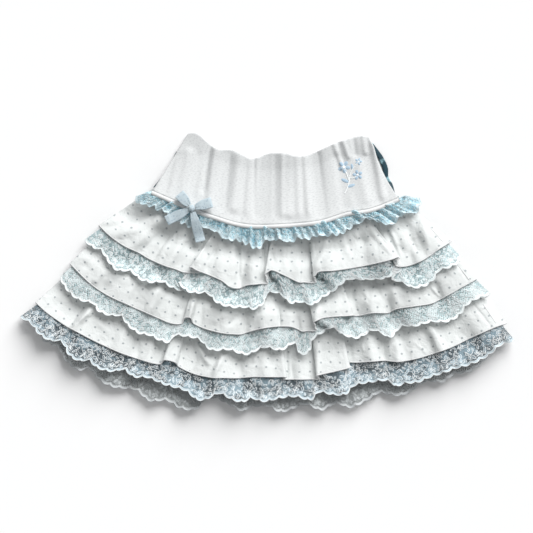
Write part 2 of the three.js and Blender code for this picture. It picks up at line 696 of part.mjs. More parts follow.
// A ribbon loop: out from the knot, round its end and back above itself.
function addLoop(name, target, knotHeight) {
  const { place, length, direction, first } = towards(target);
  const far = length - LOOP_HEIGHT / 2;
  const pinched = knotHeight - LOOP_DROP;
  const lower = LOOP_WIDTHS.map(({ along, width }) => {
    const middle = place(THREE.MathUtils.lerp(first, far, along));
    const resting = Math.max(restingHeight(middle.x, middle.y, RIBBON), pinched - LOOP_SAG);
    const height = rampTo(pinched, resting, along, LOOP_RESTS_AT);
    return { middle, height, width: width * BOW_RIBBON_WIDTH };
  });
  const upper = lower.map((section, i) => {
    const opening = rampTo(LOOP_PINCH, LOOP_HEIGHT, LOOP_WIDTHS[i].along, LOOP_OPEN_AT);
    return { ...section, height: section.height + opening };
  });
  const radius = LOOP_HEIGHT / 2;
  const end = lower.at(-1).height + radius;
  const bend = LOOP_END_TURNS.map((degrees) => {
    const angle = THREE.MathUtils.degToRad(degrees);
    const middle = place(far + radius * Math.cos(angle));
    return { middle, height: end + radius * Math.sin(angle), width: BOW_RIBBON_WIDTH };
  });
  addPiece(name, ribbon([...lower, ...bend, ...upper.reverse()], direction), BLUE_RIBBON);
}

// A ribbon tail: out from the knot and down to what it lies on.
function addTail(name, target, knotHeight) {
  const { place, length, direction, first } = towards(target);
  const sections = [];
  for (let i = 0; i <= TAIL_STEPS; i++) {
    const along = i / TAIL_STEPS;
    const middle = place(THREE.MathUtils.lerp(first, length, along));
    const wave = TAIL_WAVE * Math.sin(TAIL_WAVES * Math.PI * along) ** 2;
    const resting = restingHeight(middle.x, middle.y, RIBBON) + wave;
    const height = rampTo(knotHeight - TAIL_DROP, resting, along, TAIL_RESTS_AT);
    const width = rampTo(TAIL_NARROW, TAIL_WIDE, along, TAIL_RESTS_AT) * BOW_RIBBON_WIDTH;
    sections.push({ middle, height: Math.max(resting, height), width });
  }
  addPiece(name, ribbon(sections, direction), BLUE_RIBBON);
}

function addBow() {
  const centre = fromPhoto(BOW_KNOT);
  const knotHeight = ground.highest(centre.x, centre.y) + CONTACT_GAP + KNOT_RADIUS;
  addTail("bow_tail_left", BOW_TAILS[0], knotHeight);
  addTail("bow_tail_right", BOW_TAILS[1], knotHeight);
  addLoop("bow_loop_left", BOW_LOOPS[0], knotHeight);
  addLoop("bow_loop_right", BOW_LOOPS[1], knotHeight);
  const knot = new THREE.SphereGeometry(KNOT_RADIUS, 12, 8);
  knot.rotateX(Math.PI / 2);
  knot.translate(centre.x, centre.y, knotHeight);
  addPiece("bow_knot", knot, BLUE_RIBBON);
}

// Lays every piece down in order, from the surface up.
function layDownSkirt() {
  const backRoute = pipingRoute();
  addWaistband("back");
  addPiping("back", backRoute);
  addWaistLace("back");
  [1, 2, 3].forEach(addBackTier);
  addSideRibbon("side_ribbon_right", SIDE_RIBBON_RIGHT, -1);
  addSideRibbon("side_ribbon_left", SIDE_RIBBON_LEFT, 1);
  [3, 2, 1].forEach(addFrontTier);
  addWaistLace("front");
  const frontRoute = pipingRoute();
  addWaistband("front");
  addPiping("front", frontRoute);
  addBow();
}

layDownSkirt();

const box = new THREE.Box3().setFromObject(skirt);
skirt.position.set(-(box.min.x + box.max.x) / 2, -(box.min.y + box.max.y) / 2, -box.min.z);

export default skirt;
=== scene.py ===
import math

import bpy
import numpy as np
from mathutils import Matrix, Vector
from mathutils.bvhtree import BVHTree


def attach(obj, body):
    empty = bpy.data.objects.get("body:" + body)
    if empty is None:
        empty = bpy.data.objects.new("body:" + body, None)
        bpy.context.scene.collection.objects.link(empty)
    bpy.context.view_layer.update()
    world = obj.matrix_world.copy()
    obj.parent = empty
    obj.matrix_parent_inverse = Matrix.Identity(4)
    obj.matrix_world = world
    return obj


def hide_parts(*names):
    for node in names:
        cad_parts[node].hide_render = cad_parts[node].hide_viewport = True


# A child's tiered ruffle skirt, laid flat on its back. Units are metres, +Z is up.
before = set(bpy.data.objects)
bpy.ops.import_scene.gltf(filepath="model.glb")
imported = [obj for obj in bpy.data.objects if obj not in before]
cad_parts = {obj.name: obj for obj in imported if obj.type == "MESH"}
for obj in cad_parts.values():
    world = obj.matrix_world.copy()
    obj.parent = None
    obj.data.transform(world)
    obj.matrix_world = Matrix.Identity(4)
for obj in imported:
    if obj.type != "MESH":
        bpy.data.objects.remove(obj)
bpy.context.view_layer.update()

MM = 0.001
NODE_BODY = "root"

# The photograph's own frame: its scale, and the pixel over the part's origin
HEM_WIDTH = 0.544
HEM_LEFT_PX = 19.6
HEM_RIGHT_PX = 514.6
ORIGIN_PX = 267.11
ORIGIN_PY = 272.34
PHOTO_SIDE_PX = 533
M_PER_PX = HEM_WIDTH / (HEM_RIGHT_PX - HEM_LEFT_PX)

# Seams and hems run nearly round one point above the waist, as on a flared skirt.
FAN_PX = 275
FAN_PY = -45

# Room that each layer takes in the pile, and how thick the cloth looks at its edges. Below them the
# gaps between layers, at the bow and beside the piping, the piping's radius and what is added to it,
# and how far tier 1 runs in under the waistband.
COTTON_ROOM = 0.0010
LACE_ROOM = 0.0010
JERSEY_ROOM = 0.0018
RIBBON_ROOM = 0.0010
COTTON_CLOTH = 0.0006
JERSEY_CLOTH = 0.0014
RIBBON_CLOTH = 0.0005
LAYER_GAP = 0.0005
CONTACT_GAP = 0.0003
PIPING_GAP = 0.0006
PIPING_RADIUS = 0.0017
PIPING_FULLNESS = 0.0006
SEAM_TUCK = 0.005

# Share of a fold's height that stays at the seam, and of a panel's width in which its puff fades, and
# how far a fold's bend reaches out
FOLD_AT_SEAM = 0.35
PUFF_FADE = 1 / 12
FOLD_BEND = 0.0018

# How a lace hangs from the hem above it: how far below the hem it starts, how far out it has come
# down to what it lies on, how far in it is hidden, and how close parts of a folded hem count as one
HEM_TO_LACE = 0.0009
LACE_FALL = 0.05
WAIST_LACE_FALL = 0.026
LACE_AT_PIPING = 0.0012
LACE_HIDDEN = 0.005
HEM_SPREAD = 0.005

# The grid on which a cloth's lowest places are kept
LOWEST_CELL = 0.0016
LOWEST_CELLS = 400


def table(columns, rows):
    """Names each number of a row after its column. Columns left out at a row's end are 0."""
    names = columns.split()
    return [dict(zip(names, list(row) + [0] * (len(names) - len(row)))) for row in rows]


# The waist seam, by places in the photograph
WAIST_SEAM = table("px py", [
    [153, 191], [183, 204], [212, 215], [245, 224], [293, 223.5],
    [322, 220], [346, 212.5], [369, 209], [398, 198],
])

# Free edges. Each row is one ridge or trough: px and py place it in the photograph, and rise lifts
# it, in mm. A tuck is how far the cloth runs back under a fold, in mm: above 0 its right side lies
# on top.
WAIST_TOP = table("px py rise", [
    [188, 133.5, 0], [196, 133, 3.5], [209, 143.5, 0.5], [217, 149, 3.2], [232, 150, 1.2],
    [244, 155.5, 3.4], [250, 158.5, 1], [258, 157.5, 3.2], [268, 153.5, 1.2], [282, 153, 3],
    [287, 153.5, 1.6], [295, 156, 3.6], [304, 156, 2.6], [313, 153, 0.4], [318, 151, 2.6],
    [331, 145, 3.2], [337, 142.5, 1.4], [343, 140.5, 3], [355, 137, 2.2], [362, 136, 0.8],
    [369, 137, 1],
])

WAIST_LACE_EDGE = table("px py rise", [
    [135, 197, 0], [139, 203, 1.5], [150, 206, 4], [162, 210, 1], [170, 217, 3.5],
    [181, 223, 4.5], [191, 226, 1.5], [201, 227, 3], [210, 229, 1.5], [217, 233, 4],
    [224, 238, 1.5], [231, 240.5, 4], [238, 240, 1], [251, 246, 3.5], [260, 248, 4],
    [265, 241, 1], [279, 240, 4.5], [289, 242, 3], [297, 239, 1], [307, 238.5, 4],
    [314, 237, 1], [321, 236, 3.5], [328, 235, 1.2], [338, 234.5, 4], [352, 227, 2],
    [367, 219, 1.5], [378, 221.5, 4], [392, 225, 4], [399, 217, 1], [408, 213, 4],
    [417, 211.5, 2.5], [421, 199, 0.5],
])

TIER_1_HEM = table("px py rise tuck", [
    [99, 225, 0], [110, 235.5, 2.5], [125, 246, 6], [138, 252, 3], [150, 259, 0.2],
    [165, 265.5, 5.5], [176, 269, 3.5], [184, 272, 0.2], [190, 267, 8, 12], [197, 270, 8],
    [206, 273.5, 4], [222, 280.5, 7], [230, 286.5, 5.5], [239, 288, 0.5], [247, 285, 5],
    [256, 284, 6], [261.5, 283.5, 0.4], [264.5, 273, 8.5, 2], [271, 270, 9], [283, 274.5, 7],
    [299, 282, 5], [304, 282, 0.2], [309, 282.5, 0], [313, 275.5, 8, 1.5], [318, 271.8, 10],
    [334, 270.3, 10.5], [356, 267, 8], [374, 263.5, 9.5], [390, 259.5, 11], [399, 257, 8, -3],
    [406, 266, 0.6], [419, 261.5, 5], [430, 255, 0.8], [439, 248.5, 5], [451, 241, 0],
])

TIER_2_HEM = table("px py rise tuck", [
    [70, 263, 0], [86, 279, 4], [99, 289.5, 2], [113, 297.5, 3], [125.5, 303, 6],
    [135, 307.5, 4], [147, 312.5, 6.5], [159, 318, 0.4], [172, 323, 2.5], [182, 323, 2],
    [185, 317.5, 7], [190.5, 317.2, 7], [193.5, 322.8, 0.4], [203, 327.5, 2.5], [221, 332.3, 6.5],
    [232, 333.6, 4], [241, 333.8, 1.8], [249, 331.5, 2.5], [262, 328, 7], [277, 326, 6],
    [281, 326, 3.5], [290, 326.2, 4], [297, 328.5, 1.5], [302, 331, 2.5], [308, 330.5, 0],
    [313, 321, 8.5, 2], [322, 317.8, 9], [336, 316, 7], [346, 315.5, 8], [353.5, 315, 8, -2.5],
    [359, 315.3, 0.4], [372, 312.6, 6.5], [382, 312.6, 4], [388, 312.5, 0.2], [396, 308.7, 6],
    [413, 306, 6], [430, 303.4, 3], [436, 301, 0.5], [448, 294.5, 6], [462, 286.5, 4],
    [476, 279, 0],
])

TIER_3_HEM = table("px py rise tuck", [
    [36, 302, 0], [47, 312, 2], [61, 322, 0.2], [68, 326.5, 1.8], [74, 329.5, 6.5],
    [88, 337, 6], [103, 344.5, 4], [120, 352, 4.5], [135, 357.5, 0.4], [147, 361, 5],
    [154, 363, 2.5], [161, 363.5, 3], [164.5, 359.5, 8], [175.5, 362, 8], [178.5, 366, 0.2],
    [193, 373, 1.5], [212, 377, 6.5], [222, 377.2, 6.5], [238, 377.6, 2], [252, 376.4, 5.5],
    [264, 376.3, 6.8], [275, 376.5, 5], [286.5, 376.5, 7.5, -2], [293, 379, 1], [300, 379, 3.5],
    [311, 378.8, 0.4], [316, 374.7, 7.5, 2], [324, 373.3, 8], [338, 370.2, 7],
    [350, 367.5, 7.5, -2.5], [358, 362.2, 1], [372, 361, 6],
    [384, 360.3, 2], [397, 361.3, 5.5], [408, 360, 2],
    [418, 357.8, 4], [433, 353.2, 2.5], [441, 350.4, 7], [453, 346, 3], [467, 339.2, 0.4],
    [481, 332.6, 5], [494, 327, 4], [506, 323, 0],
])

TIER_1_LACE_EDGE = table("px py rise tuck", [
    [84, 240, 0], [93, 247.5, 2], [101, 250, 1], [107, 259, 2.5], [117, 270, 4.5],
    [131, 271.5, 0.8], [140, 279, 3.5], [152, 282.5, 5], [163, 282, 4], [171, 287, 0.5],
    [183, 291, 0.8], [177, 283.5, 8, 10], [187, 291, 6], [197, 293, 5], [207, 293, 2],
    [218, 303, 5], [232, 307, 6], [247, 307.5, 3], [254, 309, 5], [263, 303.5, 3],
    [268, 293, 1.5], [279, 293.5, 4], [291, 303, 6.5], [300, 302, 3], [313, 304.5, 5],
    [321, 298.5, 3.5], [333, 291, 5], [347, 280, 2.5], [366, 279.5, 3.5], [388, 277, 6],
    [401, 266, 8, -9], [399, 281, 0.8], [412, 287.5, 4.5], [425, 285.5, 4], [434, 278, 1.5],
    [438, 271, 1.5], [450, 267, 4.5], [457, 263, 2.5], [460.5, 256.5, 0.5],
])

TIER_2_LACE_EDGE = table("px py rise", [
    [60, 277, 0], [65, 287, 2.5], [77, 298.5, 4.5], [88, 302, 3], [93, 303, 1],
    [99, 311, 3.5], [109, 315, 5.5], [122, 316.5, 2], [127, 324, 2], [139, 333, 5],
    [149, 335, 3], [161, 340.5, 5], [169, 342, 4], [175, 335.5, 1], [190, 337, 4.5],
    [199, 339, 2], [211, 349.5, 5], [229, 349.5, 2.5], [246, 354.5, 5], [265, 347, 2],
    [281, 350, 5], [295, 343, 1.5], [299, 353, 3], [305, 354, 4.5], [310, 350, 3],
    [312, 340, 1.8], [323, 332, 4.5], [332, 327, 2], [342, 334, 4.5], [357, 338, 5],
    [374, 330, 2], [390, 337, 5.5], [402, 326, 1.5], [414, 326, 5], [430, 322, 3],
    [449, 321, 5.5], [460, 314, 3], [466, 305.5, 1.2], [477, 298.5, 4.5], [491, 294, 0.5],
])

TIER_3_LACE_EDGE = table("px py rise", [
    [19.6, 317, 0], [31, 323, 3], [39, 333, 2], [50, 340, 4.5], [62, 341.5, 1],
    [70, 355, 4], [80, 360.5, 5], [89, 360, 1.8], [97, 367, 4.5], [112, 371, 5.5],
    [124, 369.5, 1.5], [134, 376.5, 5], [147, 377, 2.5], [163, 383.5, 5.5], [171, 386, 1.5],
    [186, 390.5, 4.5], [197, 399, 5], [206, 399, 4], [219, 393, 1.5], [232, 399, 5],
    [243, 401.5, 5], [251, 398, 2], [263, 401, 5], [281, 397.5, 1.5], [296, 396.3, 4],
    [311, 399.5, 5.5], [318, 392, 1.5], [334, 394.5, 5], [346, 393.5, 4], [353, 386, 1.5],
    [370, 382, 4], [388, 380.5, 1.5], [396, 386, 4], [404, 383, 2], [417, 382, 4],
    [429, 377, 2], [440, 373.5, 4], [454, 368.5, 1.5], [470, 364, 4], [488, 355, 1],
    [500, 345, 3.5], [514.6, 340.5, 0],
])

TIER_3_BACK_LACE_EDGE = table("px py rise", [
    [19.6, 317, 0], [38, 329, 1], [44, 340.5, 2], [57.5, 347, 3], [66, 360.5, 2.5],
    [79, 370, 4], [89, 368.5, 2], [100, 380, 4], [114, 387, 3], [136, 390, 2],
    [149, 400.5, 4], [167, 400.5, 2], [181, 408.5, 4], [197, 408.5, 3], [204, 400, 1],
    [215, 398, 1], [231, 405.5, 3], [243, 411, 4.5], [250, 407, 2], [269, 406.5, 3],
    [281, 412, 4.5], [306, 404.5, 1.5], [321, 410, 4], [336, 403.5, 2], [350, 407.5, 4],
    [369, 399, 1.5], [379, 393, 1], [402, 395, 3], [426, 381.5, 2], [443, 381.5, 3.5],
    [454, 374, 1.5], [467, 372.3, 3], [480, 364.5, 2], [490, 354, 1], [500, 345.5, 0.5],
    [514.6, 340.5, 0],
])

# Puffs of the waist lace over its piping: where, how wide in pixels, and how high in mm
LACE_PUFFS = table("px wide rise", [
    [146, 6, 2.5], [160, 5, 1.8], [176, 4, 2], [214, 4, 2], [232, 4, 1.6], [250, 4, 2.2],
    [267, 6, 4.2], [284, 4, 1.6], [300, 4, 1.8], [317, 6, 4.4], [334, 4, 2], [350, 6, 3.6],
    [366, 4, 2], [384, 7, 3.8], [402, 6, 3.4],
])

# The share of the lace's depth that puffs take up, how far they lean towards the waist for each mm
# of height, in mm how far apart and how high its pleats are, and how fast they rise from the seam
PUFF_DEPTH = 0.75
PUFF_LEAN = 0.9
PLEATS = {"spacing": 12, "height": 4.8, "growth": 4}

# The satin loops that show past the sides of the waistband, outer edge first
SIDE_RIBBON_RIGHT = table("px py", [
    [373, 143], [383.5, 157.5], [388, 168], [388.6, 177], [392.5, 184], [395.2, 193.5],
])

SIDE_RIBBON_LEFT = table("px py", [
    [176, 151.5], [169, 165.5], [159, 180], [153.2, 187.4],
])

# Where each tier and its lace are gathered: the reach from the fan point in pixels, and the turns
# about it at the left and right ends in degrees
GATHER_LINES = table("tier reach left right", [
    [2, 312, -31.3, 29.4],
    [3, 362, -32.3, 30.4],
])

LACE_SEAMS = table("tier reach left right", [
    [1, 316, -31.9, 30.2],
    [2, 360, -32.6, 30.8],
    [3, 412, -33.7, 31.1],
])

# Hidden back panels and their laces end on plain arcs of these reaches, in pixels.
BACK_REACH = table("tier hem lace", [
    [1, 334, 352],
    [2, 379, 398],
    [3, 424, 440],
])

# Raised side seams that show on the front tiers, each from one place in the photograph to another.
# Below them their radius, how far they sink into the cloth and how many points each has.
SIDE_SEAMS = table("tier px py to_px to_py", [
    [3, 483, 304, 495.5, 323],
    [2, 457, 264, 469, 280],
    [1, 427, 224, 442.5, 242],
])
SEAM_RADIUS = 0.0008
SEAM_SINK = 0.00025
SEAM_POINTS = 24

# How finely the line of a gathered seam is followed
SEAM_STEP = 0.001

# Bow parts, by the middle of their free end
BOW_KNOT = table("px py", [[192, 208.5]])[0]
BOW_LOOPS = table("px py", [
    [179.6, 194.2],
    [212, 202.5],
])
BOW_TAILS = table("px py", [
    [166.7, 221],
    [200.7, 241.6],
])

# Small creases that the cloth has beside its gathered folds, each from one place in the photograph
# to another. width and rise are in mm, and a trough has a rise below 0.
CREASES = {
    "waistband_front": table("px py to_px to_py width rise", [
        [174, 150, 163, 200, 3, -1.6], [212, 134, 202, 196, 3, -1.3], [217, 140, 208, 210, 3.5, 1.5],
        [228, 146, 222, 214, 5, -1.1], [239, 148, 234, 216, 6, 1.4], [250, 150, 246, 218, 3, 0.7],
        [254.5, 148, 254, 220, 1.5, -0.8], [263, 148, 262, 222, 7, -1.3], [275, 148, 275, 222, 3, -0.5],
        [288, 146, 288, 222, 8, 1.7], [282, 148, 282, 222, 1.6, 0.5], [297, 148, 299, 220, 3, 0.8],
        [316, 146, 323, 220, 4, -1.5], [318, 160, 324, 222, 1.2, -0.7], [304, 148, 309, 220, 3, 0.8],
        [332, 138, 344, 172, 2.2, 1.2], [341, 136, 350, 160, 2, 0.9], [352, 132, 356, 158, 3, -0.9],
        [362, 130, 366, 156, 2.5, 0.9], [372, 134, 384, 204, 4, 1.5], [336, 150, 346, 214, 5, -0.9],
        [190, 146, 182, 202, 5, 0.9], [358, 158, 368, 206, 5, 0.7], [200, 150, 193, 204, 3, -0.7],
    ]),
    "tier_1_front": table("px py to_px to_py width rise", [
        [166, 205, 108, 217, 6, -2.2], [165, 214, 100, 240, 5, 1.8], [174, 222, 136, 258, 4, -2],
        [180, 226, 154, 262, 3, 1.5], [211, 233, 194, 266, 3, 1.8], [218, 248, 206, 264, 2.5, -1.5],
        [242, 234, 240.5, 288, 2, 1.2], [237, 234, 237, 262, 3, -1.6], [264, 234, 263, 270, 1.8, -1.4],
        [268, 234, 267, 270, 2.5, 1.3], [331, 234, 313, 272, 3, 1.4], [369, 228, 396, 260, 3, 1.4],
        [388, 224, 403, 262, 2.5, 1.5], [357, 236, 368, 246, 5, -1.8], [410, 236, 418, 254, 3, -1.4],
        [432, 224, 444, 240, 1.2, -0.8], [284, 243, 292, 246, 1.5, -0.8],
        [127, 256, 172, 206, 4.5, 2.2], [148, 264, 182, 220, 4, -2.4], [163, 272, 188, 234, 5, 2.2],
        [172, 243, 193, 239, 1.6, 1.0], [203, 236, 208, 279, 4, -2], [222, 228, 219, 289, 6, 1.6],
        [240, 226, 239, 295, 3.5, -2.6], [252, 232, 251, 292, 5, 1.6], [283, 232, 287, 284, 6, 1.3],
        [309, 232, 304, 294, 3.5, -2.6], [330, 226, 326, 280, 7, 1.6], [362, 222, 366, 272, 6, -1.4],
        [376, 222, 398, 262, 3, 1.6], [420, 208, 430, 264, 5, 2.2], [408, 222, 412, 270, 4, -1.4],
        [340, 236, 352, 262, 3, 0.9], [268, 246, 276, 266, 2, -0.8],
        [96, 226, 168, 207, 7, -3], [104, 241, 178, 217, 5, 1.6],
    ]),
    "tier_2_front": table("px py to_px to_py width rise", [
        [108, 266, 92, 286, 4, 1.8], [101, 252, 82, 272, 4, -1.5], [184, 292, 178, 314, 5, -2.2],
        [243, 312, 226, 326, 3, -1.6], [226, 308, 212, 326, 4, 1.4], [430, 286, 441, 299, 1.5, 1],
        [382, 278, 386, 294, 5, -1.6], [279, 303, 280, 328, 1.2, -0.8],
        [147, 320, 162, 280, 5, 2.2], [169, 329, 177, 288, 5, -2], [188, 324, 196, 292, 2.2, 2.2],
        [198, 334, 201, 292, 5, -2.2], [228, 340, 227, 302, 7, 1.6], [245, 340, 245, 304, 4, -2],
        [262, 335, 264, 302, 6, 1.6], [279, 334, 279, 302, 2.5, -1.6], [299, 337, 297, 302, 4, -2],
        [314, 328, 319, 296, 3, 1.6], [333, 324, 336, 288, 7, 1.4], [354, 322, 352, 288, 3, -1.6],
        [388, 320, 388, 285, 4, -2.4], [372, 320, 371, 286, 6, 1.3], [412, 312, 408, 280, 6, 1.4],
        [434, 278, 441, 303, 4, -1.6], [452, 256, 473, 290, 1, -0.6], [104, 286, 122, 266, 6, 1.4],
        [128, 308, 144, 276, 4, -1.4],
    ]),
    "tier_3_front": table("px py to_px to_py width rise", [
        [182, 345, 198, 366, 5, -2.6], [193, 338, 211, 368, 3, 1.9], [208, 350, 219, 362, 4, -2],
        [227, 350, 212, 378, 3, 1.6], [221, 350, 208, 376, 3, -1.6], [266, 346, 251, 364, 3, 1.4],
        [456, 332, 467, 343, 4, -1.8], [430, 323, 444, 352, 1.5, 1.1], [408, 330, 398, 342, 5, -1.6],
        [93, 309, 70, 328, 2.5, 1.6], [88, 308, 62, 322, 4, -1.8],
        [50, 296, 82, 328, 6, -2], [69, 334, 96, 303, 4, 2.4], [114, 356, 129, 320, 6, 1.6],
        [133, 365, 139, 328, 4, -1.8], [162, 370, 174, 330, 4, 2], [184, 376, 192, 333, 9, -2.6],
        [215, 384, 216, 340, 8, 2], [240, 385, 240, 343, 5, -2], [265, 384, 265, 343, 7, 1.8],
        [287, 383, 287, 344, 1.5, -1.5], [317, 383, 318, 338, 3, 1.8], [350, 374, 349, 333, 3, -1.8],
        [372, 368, 371, 333, 7, 1.6], [384, 366, 384, 333, 4, -1.4], [398, 368, 397, 333, 4, 1.4],
        [427, 324, 444, 357, 4, 2], [466, 294, 493, 330, 1, -0.6], [92, 316, 112, 336, 3, 0.9],
    ]),
}

# How each panel is laid: the step between its points along its edge, its rows of points, how fast
# its folds grow from the seam, their share at the seam, and in mm the puff of its middle, the rise,
# reach and spacing of the fine gathers at its seam, the rise and spacing of the flounces at its
# edge, and how far that edge stands off. swell is how late the flounces grow.
PANELS = {row["name"]: row for row in table(
    "name step rows growth seam_rise puff gather reach spacing flounce waves_at stand_off swell", [
        ["waistband_front", 1.6, 46, 1, 0.35, 0, 0.5, 9, 8],
        ["waistband_back", 4, 20, 1],
        ["waist_lace_front", 0.7, 22, 1, 0, 0, 1.5, 60, 7.5, 4.6, 12, 0.4, 0.6],
        ["waist_lace_back", 2, 10, 1],
        ["tier_1_front", 1.2, 50, 0.8, 0, 2, 1.3, 22, 8],
        ["tier_2_front", 1.2, 48, 0.6, 0, 2, 1, 22, 9],
        ["tier_3_front", 1.2, 48, 0.6, 0, 2, 1, 22, 9],
        ["tier_1_back", 4, 18, 1],
        ["tier_2_back", 4, 16, 1],
        ["tier_3_back", 4, 16, 1],
        ["tier_1_lace_front", 1.1, 18, 1, 0, 0, 0.9, 14, 5.5, 2.0, 21],
        ["tier_2_lace_front", 1.1, 18, 1, 0, 0, 0.9, 14, 5.5, 2.0, 19],
        ["tier_3_lace_front", 1.1, 18, 1, 0, 0, 0.9, 14, 5.5, 5, 20, 3],
        ["tier_1_lace_back", 2.4, 10, 1],
        ["tier_2_lace_back", 2.4, 10, 1],
        ["tier_3_lace_back", 1.4, 16, 1.5, 0, 0, 0.6, 14, 6, 5.0, 24, 5],
    ])}

# How late the flounces grow where a panel does not say
USUAL_SWELL = 1.5

# Uneven waves are a sum of four, longer and shorter than the spacing, brought to the height of one
WAVE_STRETCHES = 0.79, 1.0, 1.31, 2.1
WAVE_HEIGHTS = 0.6, 1
WAVE_SUM = 4.4

# Fine puckers that a front tier's cloth has everywhere: how many, and their least and most width
# and rise in mm, length in mm and lean from straight down in radians
PUCKERS = {"count": 90, "width": (1.3, 3.0), "rise": (-0.8, 0.8), "length": (12, 30), "lean": 0.5}

# How much deeper the listed creases lie than they were first marked
CREASE_DEPTH = 1.5
BAND_CREASE_DEPTH = 2.3

# The share of its length in which a crease fades at each end
CREASE_FADE = 0.3
BAND_CREASE_FADE = 0.12

# The waistband's front spans from its thick seam down to its back over this length, and sags
BAND_SPAN = 0.062
BAND_SAG = 1.35

# How far the waistband's right side is drawn in, the share of its width where that starts, and how
# much sooner it ends than the band itself
BAND_HOLLOW = 0.0034
BAND_HOLLOW_FROM = 0.88
BAND_HOLLOW_SOONER = 1.2

# How softly low places turn up where they would go under what they lie on, and how far a cloth's
# underside keeps above the floor
SOFT_TURN = 0.0004
FLOOR_CLEARANCE = 0.0001

# The section of a fold, from under the upper layer to its top: how much of the tuck and of the
# bend's radius each point lies in from the fold's edge, and its share of the fold's height
FOLD_SECTION = table("tucked bent lifted", [
    [1, 0, 0], [1, 1, 0.13], [1, 0, 0.3], [0, 1, 0.7], [0, 0, 0.87], [0, 1, 1],
])

# The turns at which a hidden back panel's plain edge has a point, in degrees
BACK_TURNS = [-26, -17, -8, 0, 8, 17, 25]

# Lace has a scalloped edge and is worked in repeats of raised loops round close stitches.
SCALLOPS = {"width": 0.011, "height": 0.0026}
WAIST_SCALLOPS = {"width": 0.0085, "height": 0.0024}

# The power that rounds a scallop, and the part of its height that lies inside the edge line
SCALLOP_ROUND = 0.7
SCALLOP_MIDDLE = 0.75

# The loops of one repeat. along and inward place a loop's middle from the repeat's middle and from
# the edge, and long and wide are its size, all in mm. turn leans it, in degrees.
LACE_MOTIF = table("along inward turn long wide", [
    [0, 10.4, 0, 4.6, 2.5],
    [2.9, 8.7, -72, 4.2, 2.4],
    [1.8, 5.6, -144, 4.0, 2.4],
    [-1.8, 5.6, 144, 4.0, 2.4],
    [-2.9, 8.7, 72, 4.2, 2.4],
    [0, 8.1, 0, 1.4, 1.4],
    [-8.4, 7.4, 38, 6.4, 2.3],
    [8.4, 7.4, -38, 6.4, 2.3],
    [-13.2, 6.4, -20, 4.6, 2.0],
    [13.2, 6.4, 20, 4.6, 2.0],
    [-13.4, 13.6, 58, 6.2, 2.2],
    [-8.6, 16.8, -64, 5.8, 2.2],
    [-4.2, 14.6, 22, 5.0, 2.0],
    [3.6, 15.4, -38, 6.2, 2.2],
    [8.4, 18.6, 66, 5.6, 2.0],
    [10.6, 13.2, -12, 5.0, 2.0],
    [16.5, 25.0, 0, 4.0, 2.2],
    [19.1, 23.5, -72, 4.0, 2.2],
    [18.1, 20.8, -144, 3.8, 2.2],
    [14.9, 20.8, 144, 3.8, 2.2],
    [13.9, 23.5, 72, 4.0, 2.2],
    [-9.4, 22.4, 78, 5.2, 2.2],
    [-4.4, 24.0, -30, 5.6, 2.2],
    [0.6, 20.6, 44, 5.2, 2.0],
    [4.8, 24.6, -68, 5.4, 2.2],
    [9.2, 23.2, 16, 4.6, 2.0],
])
WAIST_MOTIF = table("along inward turn long wide", [
    [-3.4, 5.4, 24, 3.6, 1.7],
    [0, 6.2, 0, 4.2, 1.9],
    [3.4, 5.4, -24, 3.6, 1.7],
    [-1.8, 11.4, 50, 4.4, 2.0],
    [2.6, 12.6, -40, 4.4, 2.0],
    [0.4, 17.4, 70, 4.4, 2.0],
])

# The length of a repeat
LACE_REPEAT = 0.033
WAIST_REPEAT = 0.011

# Cords that run along the lace: in mm how far in from the edge, how far they wave and their radius,
# and how many waves they have in a repeat
LACE_CORDS = table("inward wave radius waves", [
    [2.6, 0, 0.36, 1], [12.6, 2.2, 0.32, 1], [5.4, 1.2, 0.28, 3], [7.8, 1.2, 0.28, 3],
])
WAIST_CORDS = table("inward wave radius waves", [[2.4, 0, 0.34, 1], [4.4, 0.8, 0.26, 2]])

# Radii of the other threads, and how far a lace keeps above the floor
EDGE_THREAD = 0.00046
LOOP_THREAD = 0.00058
CURL_THREAD = 0.00062
LACE_CLEARANCE = 0.0008

# How the loops differ: in degrees how far they lean either way, and in size. Points round each.
LOOP_LEAN = 20
LOOP_SIZES = 0.7, 1.2
LOOP_POINTS = 14

# The close stitches inside a loop: their share of its width, and in mm how far they stand up
STITCHED_SHARE = 0.94
STITCHED_RIM = 0.15
STITCHED_MIDDLE = 0.4

# Curled cords strewn over a lace: points in each, in mm their length and how near the edge they
# come, where they start as a share of its depth, in radians how far they turn, and the power at
# which they turn faster towards their end
CURLS = {"points": 9, "length": (6, 13), "from_edge": 1.4, "inward": (0.06, 0.95),
         "bend": (1.5, 5.0), "tightening": 1.6}

# The bow's ribbon and its knot, how high its loops stand, and their widths from the knot on
BOW_RIBBON_WIDTH = 0.0114
KNOT_RADIUS = 0.0040
LOOP_HEIGHT = 0.0045
LOOP_WIDTHS = table("along width", [[0, 0.45], [0.35, 0.85], [0.7, 1], [1, 1]])

# How a loop leaves the knot: how far below its middle, how far it may sag, how far it is open there,
# the shares of its length at which it rests and is fully open, and the turns of its end in degrees
LOOP_DROP = 0.0004
LOOP_SAG = 0.002
LOOP_PINCH = 0.0017
LOOP_RESTS_AT = 0.5
LOOP_OPEN_AT = 0.625
LOOP_END_TURNS = [-50, 0, 50]

# How a tail leaves the knot: how far below its middle, the share of its length at which it rests,
# its widths as shares of the ribbon's, and the height and number of the waves that it lies in
TAIL_DROP = 0.0006
TAIL_RESTS_AT = 0.4
TAIL_NARROW = 0.5
TAIL_WIDE = 0.95
TAIL_WAVE = 0.0012
TAIL_WAVES = 1.5
TAIL_POINTS = 8

